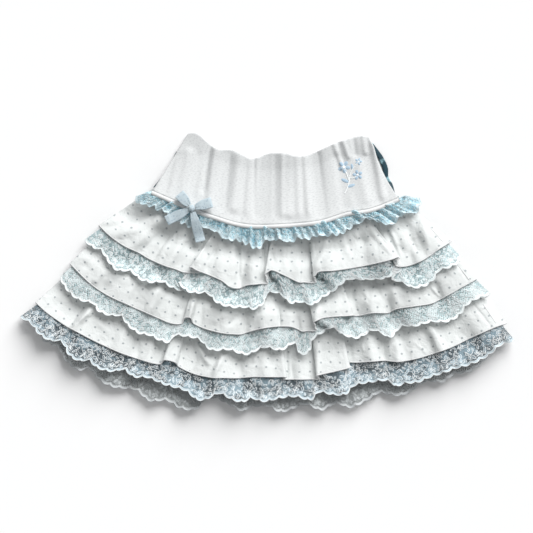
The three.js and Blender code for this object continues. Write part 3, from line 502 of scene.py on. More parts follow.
# How the ribbon is arched across and pleated at the knot, how far from the knot the pleats fade, and
# how finely it is laid along and across
RIBBON_ARCH = 0.00035
RIBBON_PLEATS = 0.00035
PLEATS_ACROSS = 5
PLEATS_FADE = 0.004
RIBBON_STEP = 0.0007
RIBBON_ROWS = 13

# The knot's creases, as a share of its radius and by their number over half of it, and its points
KNOT_CREASE = 0.07
KNOT_CREASES = 2.5
KNOT_ROWS = 17
KNOT_COLUMNS = 37

# A small embroidered sprig on the waistband. A petal runs between two shares of its flower's size,
# and a filled patch of stitches is raised in its middle and sunk in at its rim.
PETALS = 5
PETAL_FROM = 0.1
PETAL_TO = 0.5
PETAL_WIDTH = 0.3
FLOWER_MIDDLE = 0.11
PATCH_LIFT = 0.00075
PATCH_SINK = 0.0001
PATCH_RINGS = 5
PATCH_TURNS = 18
STEM_RADIUS = 0.0005
STEM_LIFT = 0.0002
STEM_STEP = 0.0012
SPRIG_FLOWERS = table("px py size turn", [
    [344, 167, 13, 10],
    [357.5, 175, 10.5, 40],
    [358.5, 161.5, 7.5, 0],
])
SPRIG_LEAVES = table("px py to_px to_py width", [
    [349, 182.5, 341, 179, 3.6],
    [347.5, 187, 355, 184.5, 3.2],
    [352.5, 170, 351.5, 163.5, 2.6],
])
SPRIG_STEMS = [
    table("px py", [[344.5, 193.5], [347.5, 187], [349, 181], [350, 174.5], [354, 167], [358, 162]]),
    table("px py", [[349, 181], [346.5, 174], [344, 168]]),
    table("px py", [[350, 178.5], [354, 178], [357, 175.5]]),
]

# Rolled hems, the piping and the satin ribbons at the sides. The sides are those of a round
# section: of rolls and stems, of a lace's edge thread and of its cords.
HEM_ROLL = 0.0008
ROLL_SIDES = 6
EDGE_SIDES = 5
CORD_SIDES = 3
PIPING_POINTS = 180
PIPING_SIDES = 14
SIDE_RIBBON_WIDTH = 0.006
SIDE_RIBBON_STEP = 0.0015
SIDE_RIBBON_ARCH = 0.0005

# Sewing in the finishes, in metres: how far apart threads, ribs and stitches lie
COTTON_THREADS = 0.0007
RIBBON_THREADS = 0.0006
SATIN_THREADS = 0.0006
JERSEY_RIBS = 0.0009
LACE_STITCHES = 0.0009
CORD_TWIST = 0.0008

# How all the cloth shines, and the tone that it drifts to
CLOTH_SHINE = 0.25
DUSKY_TONE = "9b9a97"

# The printed dots, where their soft rim runs as shares of their radius, how far their rows wander in
# metres, and how often
COTTON_DOTS = {"Spacing": 0.0109, "Radius": 0.00108, "Slant": 0.12}
DOT_RIM = 0.55, 1.4
DOT_DRIFT = 0.006
DOT_DRIFT_SCALE = 45

# The net of the laces, its slope, the size of their close patches and the width of their firm border
LACE_NET = {"Pitch": 0.0026, "Thread": 0.36}
NET_SLOPE = 0.75
LACE_PATCHES = {"Size": 0.012}
LACE_BORDER = 0.0028

# The studio: half of the floor's side, the sun's strength, spread in degrees and direction, the light
# of the room, and the heights of the camera and of the cloth that it measures at
FLOOR_SIDE = 4.0
SUN_STRENGTH = 3.85
SUN_SPREAD = 46
SUN_DIRECTION = Vector((-0.38, -0.72, -0.63))
ROOM_COLOUR = (0.98, 0.99, 1, 1)
ROOM_STRENGTH = 0.36
CAMERA_HEIGHT = 4.5
CLOTH_HEIGHT = 0.008


def lerp(a, b, t):
    return a + (b - a) * t


def from_photo(px, py):
    return np.array([(px - ORIGIN_PX) * M_PER_PX, (ORIGIN_PY - py) * M_PER_PX])


FAN = from_photo(FAN_PX, FAN_PY)


def ramp(value, start, end):
    """A soft step from 0 at the start to 1 at the end."""
    t = np.clip((value - start) / (end - start), 0, 1)
    return t * t * (3 - 2 * t)


def uneven_waves(at, spacing, seed):
    """Waves of uneven length and height along a distance, from 0 to 1."""
    draw = np.random.default_rng(seed)
    total = np.zeros_like(at)
    for stretch in WAVE_STRETCHES:
        height = draw.uniform(*WAVE_HEIGHTS)
        start = draw.uniform(0, 6.28)
        total += height * np.sin(2 * np.pi * at / (spacing * stretch) + start)
    return np.clip(0.5 + total / WAVE_SUM, 0, 1)


class Ground:
    """The height of what has been laid down so far. Each new piece rests on it."""

    cell = 0.002
    columns = 300
    rows = 190
    spread = 3

    def __init__(self):
        self.tops = np.zeros((self.rows, self.columns))
        self.smooth = self.tops

    def index(self, x, y):
        i = np.clip(x / self.cell + self.columns / 2, 0, self.columns - 1.001)
        j = np.clip(y / self.cell + self.rows / 2, 0, self.rows - 1.001)
        return i, j

    def sweep(self, field, axis, highest):
        padded = np.pad(field, self.spread, mode="edge")
        turns = range(-self.spread, self.spread + 1)
        moved = [np.roll(padded, turn, axis) for turn in turns]
        swept = np.max(moved, axis=0) if highest else np.mean(moved, axis=0)
        return swept[self.spread:-self.spread, self.spread:-self.spread]

    def mark(self, points):
        """Raises the ground to the given points, and evens out what the next piece rests on."""
        i, j = self.index(points[..., 0], points[..., 1])
        np.maximum.at(self.tops, (np.rint(j).astype(int), np.rint(i).astype(int)), points[..., 2])
        self.smooth = self.tops
        for highest in (True, False):
            for axis in (0, 1):
                self.smooth = self.sweep(self.smooth, axis, highest)

    def at(self, x, y):
        i, j = self.index(x, y)
        i0, j0 = np.floor(i).astype(int), np.floor(j).astype(int)
        near = lerp(self.smooth[j0, i0], self.smooth[j0, i0 + 1], i - i0)
        far = lerp(self.smooth[j0 + 1, i0], self.smooth[j0 + 1, i0 + 1], i - i0)
        return lerp(near, far, j - j0)

    def highest(self, x, y):
        i, j = (int(round(float(value))) for value in self.index(x, y))
        return self.tops[j - 1:j + 2, i - 1:i + 2].max()


ground = Ground()


def resting_height(x, y, room):
    below = ground.at(x, y)
    return room / 2 + below + np.minimum(LAYER_GAP, below)


def smooth_curve(points, longest):
    """Points of a smooth curve through the given ones, and for each its stretch and share of it."""
    points = np.array(points, dtype=float)
    before = 2 * points[0] - points[1]
    after = 2 * points[-1] - points[-2]
    padded = np.vstack([before, points, after])
    places, stretches = [], []
    for i in range(len(points) - 1):
        p0, p1, p2, p3 = padded[i:i + 4]
        d1 = max(np.linalg.norm(p2 - p1), 1e-9) ** 0.5
        d0 = np.linalg.norm(p1 - p0) ** 0.5 or d1
        d2 = np.linalg.norm(p3 - p2) ** 0.5 or d1
        m1 = ((p1 - p0) / d0 - (p2 - p0) / (d0 + d1) + (p2 - p1) / d1) * d1
        m2 = ((p2 - p1) / d1 - (p3 - p1) / (d1 + d2) + (p3 - p2) / d2) * d1
        steps = math.ceil(np.linalg.norm(p2 - p1) / longest)
        t = (np.arange(steps) / steps)[:, None]
        cubic = 2 * p1 - 2 * p2 + m1 + m2
        square = -3 * p1 + 3 * p2 - 2 * m1 - m2
        places.append(cubic * t ** 3 + square * t ** 2 + m1 * t + p1)
        stretches.append(i + t[:, 0])
    places.append(points[-1:])
    stretches.append([len(points) - 1])
    return np.vstack(places), np.concatenate(stretches)


def fold_at(row, low):
    """One row of a free edge as an S-shaped fold that runs back over its lower neighbour."""
    side = np.sign(row["tuck"])
    place, low_place = from_photo(row["px"], row["py"]), from_photo(low["px"], low["py"])
    fold = []
    for part in FOLD_SECTION:
        inset = part["tucked"] * abs(row["tuck"]) * MM + part["bent"] * FOLD_BEND
        y = lerp(low_place[1], place[1], part["lifted"])
        rise = lerp(low["rise"], row["rise"], part["lifted"]) * MM
        fold.append(([place[0] + side * inset, y, rise], 1.0))
    return fold if side > 0 else fold[::-1]


def folded_edge(rows):
    """Points along a free edge, with the rise as z, and 1 for each one that is in a fold."""
    edge = []
    for i, row in enumerate(rows):
        if row.get("tuck"):
            edge += fold_at(row, rows[i - int(np.sign(row["tuck"]))])
        else:
            edge.append(([*from_photo(row["px"], row["py"]), row.get("rise", 0) * MM], 0.0))
    points, folded = zip(*edge)
    return points, np.array(folded)


def columns_along(rows, longest):
    """Splits a free edge into short stretches: their ends, how folded they are and their shares."""
    points, folded = folded_edge(rows)
    places, stretches = smooth_curve(points, longest)
    folded = np.interp(stretches, np.arange(len(folded)), folded)
    turns = np.arctan2(places[:, 0] - FAN[0], FAN[1] - places[:, 1])
    turned = np.concatenate([[0], np.cumsum(np.abs(np.diff(turns)))])
    return places, folded, turned / turned[-1]


def seam_line(places):
    """A seam that gives a place for each share of its length."""
    line, _ = smooth_curve(places, SEAM_STEP)
    lengths = np.concatenate([[0], np.cumsum(np.linalg.norm(np.diff(line, axis=0), axis=1))])
    shares = lengths / lengths[-1]
    return lambda share: np.stack([np.interp(share, shares, line[:, k]) for k in (0, 1)], axis=-1)


def waist_line(offset):
    places = []
    for row in WAIST_SEAM:
        place = from_photo(row["px"], row["py"])
        away = (place - FAN) / np.linalg.norm(place - FAN)
        places.append(place + away * offset)
    return seam_line(places)


def fan_line(row):
    def place(share):
        angle = np.radians(lerp(row["left"], row["right"], share))
        reach = row["reach"] * M_PER_PX
        return np.stack([FAN[0] + np.sin(angle) * reach, FAN[1] - np.cos(angle) * reach], axis=-1)
    return place


def crease(x, y, start, end, width, rise, fade=CREASE_FADE):
    """The height of one soft ridge or trough over the given places."""
    run = end - start
    length = np.linalg.norm(run)
    along = ((x - start[0]) * run[0] + (y - start[1]) * run[1]) / length ** 2
    aside = ((x - start[0]) * run[1] - (y - start[1]) * run[0]) / length
    faded = ramp(along, 0, fade) * ramp(1 - along, 0, fade)
    return rise * faded * np.exp(-(aside / width) ** 2)


def crease_heights(name, x, y):
    """The small creases of one panel, as heights over its places."""
    heights = np.zeros_like(x)
    for row in CREASES.get(name, []):
        start, end = from_photo(row["px"], row["py"]), from_photo(row["to_px"], row["to_py"])
        band = name == "waistband_front"
        depth, fade = (BAND_CREASE_DEPTH, BAND_CREASE_FADE) if band else (CREASE_DEPTH, CREASE_FADE)
        heights += crease(x, y, start, end, row["width"] * MM, depth * row["rise"] * MM, fade)
    if name.startswith("tier") and name in CREASES:
        heights += pucker_heights(x, y, len(CREASES[name]))
    return heights


def pucker_heights(x, y, seed):
    """Fine puckers strewn over a gathered cloth, nearly in line with its folds."""
    draw = np.random.default_rng(seed)
    heights = np.zeros_like(x)
    for _ in range(PUCKERS["count"]):
        row, column = draw.integers(0, x.shape[0]), draw.integers(0, x.shape[1])
        start = np.array([x[row, column], y[row, column]])
        away = (start - FAN) / np.linalg.norm(start - FAN)
        lean = draw.uniform(-PUCKERS["lean"], PUCKERS["lean"])
        turned = np.array([away[0] * math.cos(lean) - away[1] * math.sin(lean),
                           away[0] * math.sin(lean) + away[1] * math.cos(lean)])
        end = start + turned * draw.uniform(*PUCKERS["length"]) * MM
        width = draw.uniform(*PUCKERS["width"]) * MM
        heights += crease(x, y, start, end, width, draw.uniform(*PUCKERS["rise"]) * MM)
    return heights


def kept_above(height, least):
    """Raises low places so that none goes under the least height, with a soft turn."""
    over = height - least
    return least + 0.5 * (over + np.sqrt(over ** 2 + SOFT_TURN ** 2))


def normals_of(points):
    """Normals of rows of points, evened out along each row so that tight bends stay open."""
    own_weight = 1.2
    along = np.empty_like(points)
    along[:, 1:-1] = points[:, 2:] - points[:, :-2]
    along[:, 0], along[:, -1] = points[:, 1] - points[:, 0], points[:, -1] - points[:, -2]
    across = np.empty_like(points)
    across[1:-1] = points[2:] - points[:-2]
    across[0], across[-1] = points[1] - points[0], points[-1] - points[-2]
    normals = np.cross(across, along)
    normals /= np.maximum(np.linalg.norm(normals, axis=2, keepdims=True), 1e-12)
    wide = np.pad(normals, ((0, 0), (1, 1), (0, 0)), mode="edge")
    normals = wide[:, :-2] + wide[:, 2:] + own_weight * normals
    return normals / np.maximum(np.linalg.norm(normals, axis=2, keepdims=True), 1e-12)


def lowest_cell(x, y):
    """The row and column of a place on the grid of lowest places."""
    j, i = (np.rint(value / LOWEST_CELL + LOWEST_CELLS / 2).astype(int) for value in (y, x))
    return j, i


class Cloth:
    """Rows of points of one panel, from its seam to its free edge, and what follows from them."""

    def __init__(self, points):
        self.points = points
        self.normals = normals_of(points)
        steps = np.linalg.norm(np.diff(points[-1], axis=0), axis=1)
        self.edge = np.concatenate([[0], np.cumsum(steps)])
        depths = np.linalg.norm(np.diff(points, axis=0), axis=2)
        self.depth = np.vstack([np.zeros(points.shape[1]), np.cumsum(depths, axis=0)])

    def spread_out(self):
        """Places on the opened-out cloth, which fans out: round the fan point, and towards it."""
        away = self.points[..., :2] - FAN
        reach = np.linalg.norm(away, axis=2)
        turn = np.arctan2(away[..., 0], -away[..., 1])
        return np.stack([turn * reach.mean(), -reach], axis=-1)

    def along_edge(self):
        """Places on the cut strip: along its edge, and in from the edge."""
        across = np.broadcast_to(self.edge, self.depth.shape)
        return np.stack([across, self.depth[-1] - self.depth], axis=-1)

    def lowest_near(self, x, y):
        """How low this cloth comes round each place, and a great height where it isn't above it."""
        size = LOWEST_CELLS
        cells = np.full((size, size), 1.0)
        np.minimum.at(cells, lowest_cell(*self.points[..., :2].transpose(2, 0, 1)), self.points[..., 2])
        padded = np.pad(cells, 1, mode="edge")
        moved = [padded[a:a + size, b:b + size] for a in range(3) for b in range(3)]
        return np.min(moved, axis=0)[lowest_cell(x, y)]

    def hung_from(self, hem, tier, fall):
        """The same cloth, lifted so that it starts right under the hem that it is sewn to."""
        apart = np.linalg.norm(hem[:, None, :2] - hem[None, :, :2], axis=2)
        lowest = np.where(apart < HEM_SPREAD, hem[None, :, 2], 1).min(axis=1)
        flat = self.points.reshape(-1, 3)
        away = np.linalg.norm(flat[:, None, :2] - hem[None, :, :2], axis=2)
        distance = away.min(axis=1)
        weight = np.exp(-(2 * (away - distance[:, None]) / HEM_SPREAD) ** 2)
        under_hem = (weight * lowest).sum(axis=1) / weight.sum(axis=1) - HEM_TO_LACE
        under_tier = tier.lowest_near(flat[:, 0], flat[:, 1]) - HEM_TO_LACE
        reach = np.linalg.norm(flat[:, :2] - FAN, axis=1)
        hem_reach = np.linalg.norm(hem[:, :2] - FAN, axis=1)[away.argmin(axis=1)]
        held = np.where(reach > hem_reach, 1 - ramp(distance, 0, fall),
                        1 - ramp(distance, 0, LACE_HIDDEN))
        lifted = flat.copy()
        raised = flat[:, 2] + held * np.maximum(0, under_hem - flat[:, 2])
        lifted[:, 2] = np.maximum(flat[:, 2], np.minimum(raised, under_tier))
        return Cloth(lifted.reshape(self.points.shape))

    def place(self, along, inward):
        """Places and normals on the cloth, from a distance along its edge and one in from it."""
        rows, columns = self.depth.shape
        i = np.clip(np.interp(along, self.edge, np.arange(columns)), 0, columns - 1.001)
        i0 = np.floor(i).astype(int)
        share = (i - i0)[..., None]
        full = lerp(self.depth[-1, i0], self.depth[-1, i0 + 1], i - i0)
        j = np.clip((1 - inward / full) * (rows - 1), 0, rows - 1.001)
        j0 = np.floor(j).astype(int)
        down = (j - j0)[..., None]
        found = []
        for field in (self.points, self.normals):
            near = lerp(field[j0, i0], field[j0, i0 + 1], share)
            far = lerp(field[j0 + 1, i0], field[j0 + 1, i0 + 1], share)
            found.append(lerp(near, far, down))
        return found


def lay(name, edge, seam, room, scallops=None):
    """Lays a panel from its gathered seam to its free edge, on top of what lies there."""
    panel = PANELS[name]
    ends, folded, share = columns_along(edge, panel["step"] * MM)
    starts = seam(share)
    lengths = np.linalg.norm(ends[:, :2] - starts, axis=1)
    along = np.concatenate([[0], np.cumsum(np.linalg.norm(np.diff(ends, axis=0), axis=1))])
    reach = np.ones_like(share)
    if scallops:
        lobes = np.abs(np.sin(np.pi * along / scallops["width"])) ** SCALLOP_ROUND
        reach += (lobes - SCALLOP_MIDDLE) * scallops["height"] / lengths
    depth = np.linspace(0, 1, panel["rows"])[:, None]
    x = lerp(starts[:, 0], ends[:, 0], depth * reach)
    y = lerp(starts[:, 1], ends[:, 1], depth * reach)
    if name == "waistband_front":
        down = np.sin(np.pi * np.minimum(1, depth * BAND_HOLLOW_SOONER))
        drawn_in = down * ramp(share, BAND_HOLLOW_FROM, 1)
        x = x - BAND_HOLLOW * drawn_in
    sides = np.minimum(1, np.minimum(share, 1 - share) / PUFF_FADE)
    body = panel["puff"] * MM * np.sin(np.pi * depth) * sides
    caught = np.maximum(panel["seam_rise"], FOLD_AT_SEAM * folded)
    folds = ends[:, 2] * lerp(caught, 1, depth ** panel["growth"])
    gathers = 0
    if panel["gather"]:
        waves = uneven_waves(along, panel["spacing"] * MM, len(name) + panel["rows"])
        gathers = panel["gather"] * MM * waves * np.exp(-depth * lengths / (panel["reach"] * MM))
    if panel["flounce"]:
        waves = uneven_waves(along, panel["waves_at"] * MM, 3 * len(name) + panel["rows"])
        lifted = panel["stand_off"] + panel["flounce"] * waves
        gathers = gathers + lifted * MM * depth ** (panel["swell"] or USUAL_SWELL)
    least = resting_height(x, y, room)
    if name == "waistband_front":
        span = np.maximum(0, 1 - depth * lengths / BAND_SPAN) ** BAND_SAG
        least = np.maximum(least, least[-1] + (least[0] - least[-1]) * span)
    height = kept_above(least + folds + body + gathers + crease_heights(name, x, y), least)
    cloth = Cloth(np.stack([x, y, height], axis=-1))
    ground.mark(cloth.points + cloth.normals * room / 2)
    ground.mark(cloth.points - cloth.normals * room / 2)
    return cloth


def grid_faces(rows, columns, first=0):
    """Four-cornered faces between rows of points that are numbered one row after another."""
    index = first + np.arange(rows * columns).reshape(rows, columns)
    corners = [index[:-1, :-1], index[1:, :-1], index[1:, 1:], index[:-1, 1:]]
    return np.stack(corners, axis=-1).reshape(-1, 4)


def wall(cloth, thickness, uvs):
    """A closed thin shell round rows of points."""
    rows, columns = cloth.points.shape[:2]
    top = cloth.points + cloth.normals * thickness / 2
    bottom = cloth.points - cloth.normals * thickness / 2
    vertices = np.concatenate([top.reshape(-1, 3), bottom.reshape(-1, 3)])
    vertices[:, 2] = np.maximum(vertices[:, 2], FLOOR_CLEARANCE)
    count = rows * columns
    index = np.arange(count).reshape(rows, columns)
    rim = np.concatenate([index[0, ::-1], index[1:, 0], index[-1, 1:], index[-2:0:-1, -1]])
    after = np.roll(rim, -1)
    sides = np.stack([rim, rim + count, after + count, after], axis=-1)
    faces = [grid_faces(rows, columns), grid_faces(rows, columns, count)[:, ::-1], sides]
    return vertices, np.concatenate(faces), np.tile(uvs.reshape(-1, 2), (2, 1))


def tubes(paths, ups, radius, sides, closed=False):
    """Round threads along paths that all have as many points. The ups tell how each one is turned."""
    if closed:
        runs = np.roll(paths, -1, axis=1) - np.roll(paths, 1, axis=1)
    else:
        runs = np.gradient(paths, axis=1)
    runs /= np.maximum(np.linalg.norm(runs, axis=2, keepdims=True), 1e-12)
    asides = np.cross(runs, ups)
    asides /= np.maximum(np.linalg.norm(asides, axis=2, keepdims=True), 1e-12)
    ups = np.cross(asides, runs)
    angles = np.arange(sides) * 2 * np.pi / sides
    ring = np.cos(angles)[:, None] * ups[:, :, None] + np.sin(angles)[:, None] * asides[:, :, None]
    vertices = paths[:, :, None] + ring * radius
    count, steps = paths.shape[:2]
    index = np.arange(count * steps * sides).reshape(count, steps, sides)
    ahead = np.roll(index, -1, axis=1) if closed else index[:, 1:]
    here = index if closed else index[:, :-1]
    corners = [here, np.roll(here, -1, axis=2), np.roll(ahead, -1, axis=2), ahead]
    faces = np.stack(corners, axis=-1).reshape(-1, 4).tolist()
    if not closed:
        faces += index[:, 0].tolist() + index[:, -1, ::-1].tolist()
    lengths = np.linalg.norm(np.diff(paths, axis=1), axis=2).cumsum(axis=1)
    lengths = np.concatenate([np.zeros((count, 1)), lengths], axis=1)
    uvs = np.stack(np.broadcast_arrays(lengths[:, :, None], angles * radius), axis=-1)
    return vertices.reshape(-1, 3), faces, uvs.reshape(-1, 2)


def joined(parts):
    """Joins shapes, each given as its points, faces and places on the cloth, into one."""
    vertices, faces, uvs = [], [], []
    first = 0
    for part_vertices, part_faces, part_uvs in parts:
        vertices.append(part_vertices)
        uvs.append(part_uvs)
        for face in np.asarray(part_faces, dtype=object).tolist():
            faces.append([first + corner for corner in face])
        first += len(part_vertices)
    return np.concatenate(vertices), faces, np.concatenate(uvs)


class Surface:
    """The top of a piece, to set sewing down on."""

    def __init__(self, shape):
        vertices, faces, _ = shape
        self.tree = BVHTree.FromPolygons(vertices.tolist(), faces.tolist())

    def under(self, x, y):
        place, normal, _, _ = self.tree.ray_cast(Vector((x, y, 1)), Vector((0, 0, -1)))
        return np.array(place), np.array(normal)


def add_piece(name, shape, material, replaced=()):
    """Makes one piece of the skirt from its points, faces and places on the cloth."""
    vertices, faces, uvs = shape
    mesh = bpy.data.meshes.new(name)
    mesh.from_pydata(np.asarray(vertices).tolist(), [], [list(face) for face in faces])
    corners = np.empty(len(mesh.loops), dtype=np.int32)
    mesh.loops.foreach_get("vertex_index", corners)
    layer = mesh.uv_layers.new(name="cloth")
    layer.data.foreach_set("uv", np.asarray(uvs)[corners].ravel())
    mesh.polygons.foreach_set("use_smooth", np.ones(len(mesh.polygons), dtype=bool))
    mesh.materials.append(material)
    piece = bpy.data.objects.new(name, mesh)
    bpy.context.scene.collection.objects.link(piece)
    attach(piece, NODE_BODY)
    if replaced:
        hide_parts(*replaced)
    return piece


# Finishes

class Nodes:
    """Adds shader nodes to one tree and joins their sockets."""

    def __init__(self, tree):
        self.tree = tree

    def add(self, kind, inputs=(), **settings):
        node = self.tree.nodes.new(kind)
        for setting, value in settings.items():
            setattr(node, setting, value)
        for socket, value in dict(inputs).items():
            self.feed(node.inputs[socket], value)
        return node

    def feed(self, socket, value):
        if isinstance(value, bpy.types.NodeSocket):
            self.tree.links.new(value, socket)
        else:
            socket.default_value = value

    def maths(self, operation, *values, clamp=False):
        inputs = dict(enumerate(values))
        return self.add("ShaderNodeMath", inputs, operation=operation, use_clamp=clamp).outputs[0]

    def soft_step(self, value, start, end):
        inputs = {"Value": value, "From Min": start, "From Max": end}
        return self.add("ShaderNodeMapRange", inputs, interpolation_type="SMOOTHSTEP").outputs[0]

    def mixed(self, factor, first, second):
        """Two colours mixed. A Mix node has its colours at sockets 6 and 7 and its result at 2."""
        inputs = {0: factor, 6: first, 7: second}
        return self.add("ShaderNodeMix", inputs, data_type="RGBA").outputs[2]

    def noise(self, place, **values):
        """Noise over the given places: its value, and its three channels as a colour."""
        inputs = {"Vector": place}
        inputs.update((name.capitalize(), value) for name, value in values.items())
        return self.add("ShaderNodeTexNoise", inputs).outputs

    def ribs(self, distance, pitch):
        """Even ribs along a distance, from -1 to 1."""
        return self.maths("SINE", self.maths("MULTIPLY", distance, 2 * math.pi / pitch))

    def object_places(self):
        return self.add("ShaderNodeTexCoord").outputs["Object"]

    def cloth_places(self):
        """A place on the opened-out cloth, and its two distances, in metres."""
        place = self.add("ShaderNodeUVMap", uv_map="cloth").outputs[0]
        parts = self.add("ShaderNodeSeparateXYZ", {0: place})
        return place, parts.outputs[0], parts.outputs[1]


def colour(code):
    """A colour from its six-digit code, as a shader takes it."""
    parts = [int(code[i:i + 2], 16) / 255 for i in (0, 2, 4)]
    linear = [part / 12.92 if part <= 0.04045 else ((part + 0.055) / 1.055) ** 2.4 for part in parts]
    return (*linear, 1)


def shared_effect(name, inputs, outputs):
    """A node group with named number inputs and outputs, and the nodes to fill it with."""
    group = bpy.data.node_groups.new(name, "ShaderNodeTree")
    for label, value in inputs.items():
        socket = group.interface.new_socket(label, in_out="INPUT", socket_type="NodeSocketFloat")
        socket.default_value = value
    for label in outputs:
        group.interface.new_socket(label, in_out="OUTPUT", socket_type="NodeSocketFloat")
    nodes = Nodes(group)
    given = group.nodes.new("NodeGroupInput").outputs
    result = group.nodes.new("NodeGroupOutput").inputs
    return group, nodes, given, result


def weave_effect():
    """Crossing threads as a height, one over and one under."""
    group, nodes, given, result = shared_effect("woven threads", {"Pitch": 0.0006}, ["Height"])
    _, *distances = nodes.cloth_places()
    waves = []
    for distance in distances:
        turn = nodes.maths("DIVIDE", distance, given["Pitch"])
        waves.append(nodes.maths("SINE", nodes.maths("MULTIPLY", turn, 2 * math.pi)))
    product = nodes.maths("MULTIPLY", *waves)
    nodes.feed(result["Height"], nodes.maths("MULTIPLY_ADD", product, 0.5, 0.5))
    return group


def tone_effect():
    """Slow and fine changes of tone over a cloth, near 1."""
    group, nodes, given, result = shared_effect(
        "uneven tone", {"Size": 0.03, "Amount": 0.05}, ["Tone"])
    scale = nodes.maths("DIVIDE", 1, given["Size"])
    noise = nodes.noise(nodes.object_places(), scale=scale, detail=4)[0]
    change = nodes.maths("MULTIPLY", nodes.maths("SUBTRACT", noise, 0.5), given["Amount"])
    nodes.feed(result["Tone"], nodes.maths("ADD", change, 1))
    return group


def dots_effect():
    """Small dots in slanting rows, as a mask."""
    group, nodes, given, result = shared_effect(
        "small dots", {"Spacing": 0.011, "Radius": 0.0008, "Slant": 0.14}, ["Mask"])
    place, across, down = nodes.cloth_places()
    noise = nodes.noise(place, scale=DOT_DRIFT_SCALE, detail=0)[1]
    drift = nodes.add("ShaderNodeSeparateXYZ", {0: noise}).outputs
    slanted = nodes.maths("MULTIPLY_ADD", across, given["Slant"], down)
    leaned = nodes.maths("MULTIPLY_ADD", down, nodes.maths("MULTIPLY", given["Slant"], -1), across)
    squares = []
    for distance, wobble in ((slanted, drift[0]), (leaned, drift[1])):
        moved = nodes.maths("MULTIPLY_ADD", wobble, DOT_DRIFT, distance)
        turn = nodes.maths("DIVIDE", moved, given["Spacing"])
        offset = nodes.maths("SUBTRACT", nodes.maths("FRACT", turn), 0.5)
        squares.append(nodes.maths("POWER", nodes.maths("MULTIPLY", offset, given["Spacing"]), 2))
    away = nodes.maths("SQRT", nodes.maths("ADD", *squares))
    inner, outer = (nodes.maths("MULTIPLY", given["Radius"], share) for share in DOT_RIM)
    outside = nodes.soft_step(away, inner, outer)
    nodes.feed(result["Mask"], nodes.maths("SUBTRACT", 1, outside))
    return group


def net_effect():
    """A slanting net, 1 on its threads and 0 in its holes."""
    group, nodes, given, result = shared_effect("net", {"Pitch": 0.0017, "Thread": 0.34}, ["Threads"])
    _, across, down = nodes.cloth_places()
    steep = nodes.maths("MULTIPLY", down, NET_SLOPE)
    threads = []
    for distance in (nodes.maths("ADD", across, steep), nodes.maths("SUBTRACT", across, steep)):
        turn = nodes.maths("FRACT", nodes.maths("DIVIDE", distance, given["Pitch"]))
        off_middle = nodes.maths("ABSOLUTE", nodes.maths("SUBTRACT", turn, 0.5))
        half = nodes.maths("MULTIPLY", given["Thread"], 0.5)
        threads.append(nodes.maths("LESS_THAN", off_middle, half))
    nodes.feed(result["Threads"], nodes.maths("MAXIMUM", *threads))
    return group


def patches_effect():
    """Uneven patches over a lace, as a mask."""
    group, nodes, given, result = shared_effect("patches", {"Size": 0.012}, ["Mask"])
    scale = nodes.maths("DIVIDE", 1, given["Size"])
    noise = nodes.noise(nodes.object_places(), scale=scale, detail=2)[0]
    nodes.feed(result["Mask"], nodes.soft_step(noise, 0.42, 0.6))
    return group


WEAVE = weave_effect()
TONE = tone_effect()
DOTS = dots_effect()
NET = net_effect()
PATCHES = patches_effect()


def new_finish(name, roughness, sheen=0.0):
    """A new material, the nodes to fill it with and its shader."""
    material = bpy.data.materials.new(name)
    material.use_nodes = True
    shader = material.node_tree.nodes["Principled BSDF"]
    shader.inputs["Roughness"].default_value = roughness
    shader.inputs["Sheen Weight"].default_value = sheen
    shader.inputs["Specular IOR Level"].default_value = CLOTH_SHINE
    return material, Nodes(material.node_tree), shader


def effect(nodes, group, values, output):
    """Puts a shared effect among a finish's nodes with its own values."""
    node = nodes.tree.nodes.new("ShaderNodeGroup")
    node.node_tree = group
    for label, value in values.items():
        nodes.feed(node.inputs[label], value)
    return node.outputs[output]


def toned(nodes, base, size, amount):
    """A colour that drifts a little lighter and darker over the cloth."""
    tone = effect(nodes, TONE, {"Size": size, "Amount": amount}, "Tone")
    darker = nodes.maths("SUBTRACT", 1, tone, clamp=True)
    return nodes.mixed(nodes.maths("MULTIPLY", darker, 2), base, colour(DUSKY_TONE))


def bump(nodes, shader, height, depth):
    """Fine relief from a height, so many metres deep for each 1 of height."""
    values = {"Height": height, "Distance": depth, "Strength": 1}
    nodes.feed(shader.inputs["Normal"], nodes.add("ShaderNodeBump", values).outputs[0])


def cotton_finish(name, code, dotted):
    material, nodes, shader = new_finish(name, roughness=0.85, sheen=0.1)
    base = toned(nodes, colour(code), size=0.05, amount=0.07)
    height = effect(nodes, WEAVE, {"Pitch": COTTON_THREADS}, "Height")
    if dotted:
        mask = effect(nodes, DOTS, COTTON_DOTS, "Mask")
        base = nodes.mixed(mask, base, colour("a3a9ab"))
        height = nodes.maths("ADD", nodes.maths("MULTIPLY", height, 0.25), mask)
        rumples = nodes.noise(nodes.object_places(), scale=95, detail=3, distortion=0.4)[0]
        height = nodes.maths("MULTIPLY_ADD", rumples, 6.5, height)
    nodes.feed(shader.inputs["Base Color"], base)
    bump(nodes, shader, height, depth=0.0003 if dotted else 0.0001)
    return material


def jersey_finish(name):
    material, nodes, shader = new_finish(name, roughness=0.92, sheen=0.2)
    _, across, down = nodes.cloth_places()
    drawn_out = nodes.add("ShaderNodeCombineXYZ", {0: nodes.maths("MULTIPLY", across, 0.4), 1: down})
    flecks = nodes.noise(drawn_out.outputs[0], scale=900, detail=3)[0]
    fleck = nodes.soft_step(flecks, 0.42, 0.72)
    base = toned(nodes, colour("d2d4d4"), size=0.035, amount=0.08)
    flecked = nodes.mixed(nodes.maths("MULTIPLY", fleck, 0.6), base, colour("b3b5b6"))
    nodes.feed(shader.inputs["Base Color"], flecked)
    height = nodes.maths("MULTIPLY_ADD", nodes.ribs(across, JERSEY_RIBS), 0.12, flecks)
    bump(nodes, shader, height, depth=0.00012)
    return material


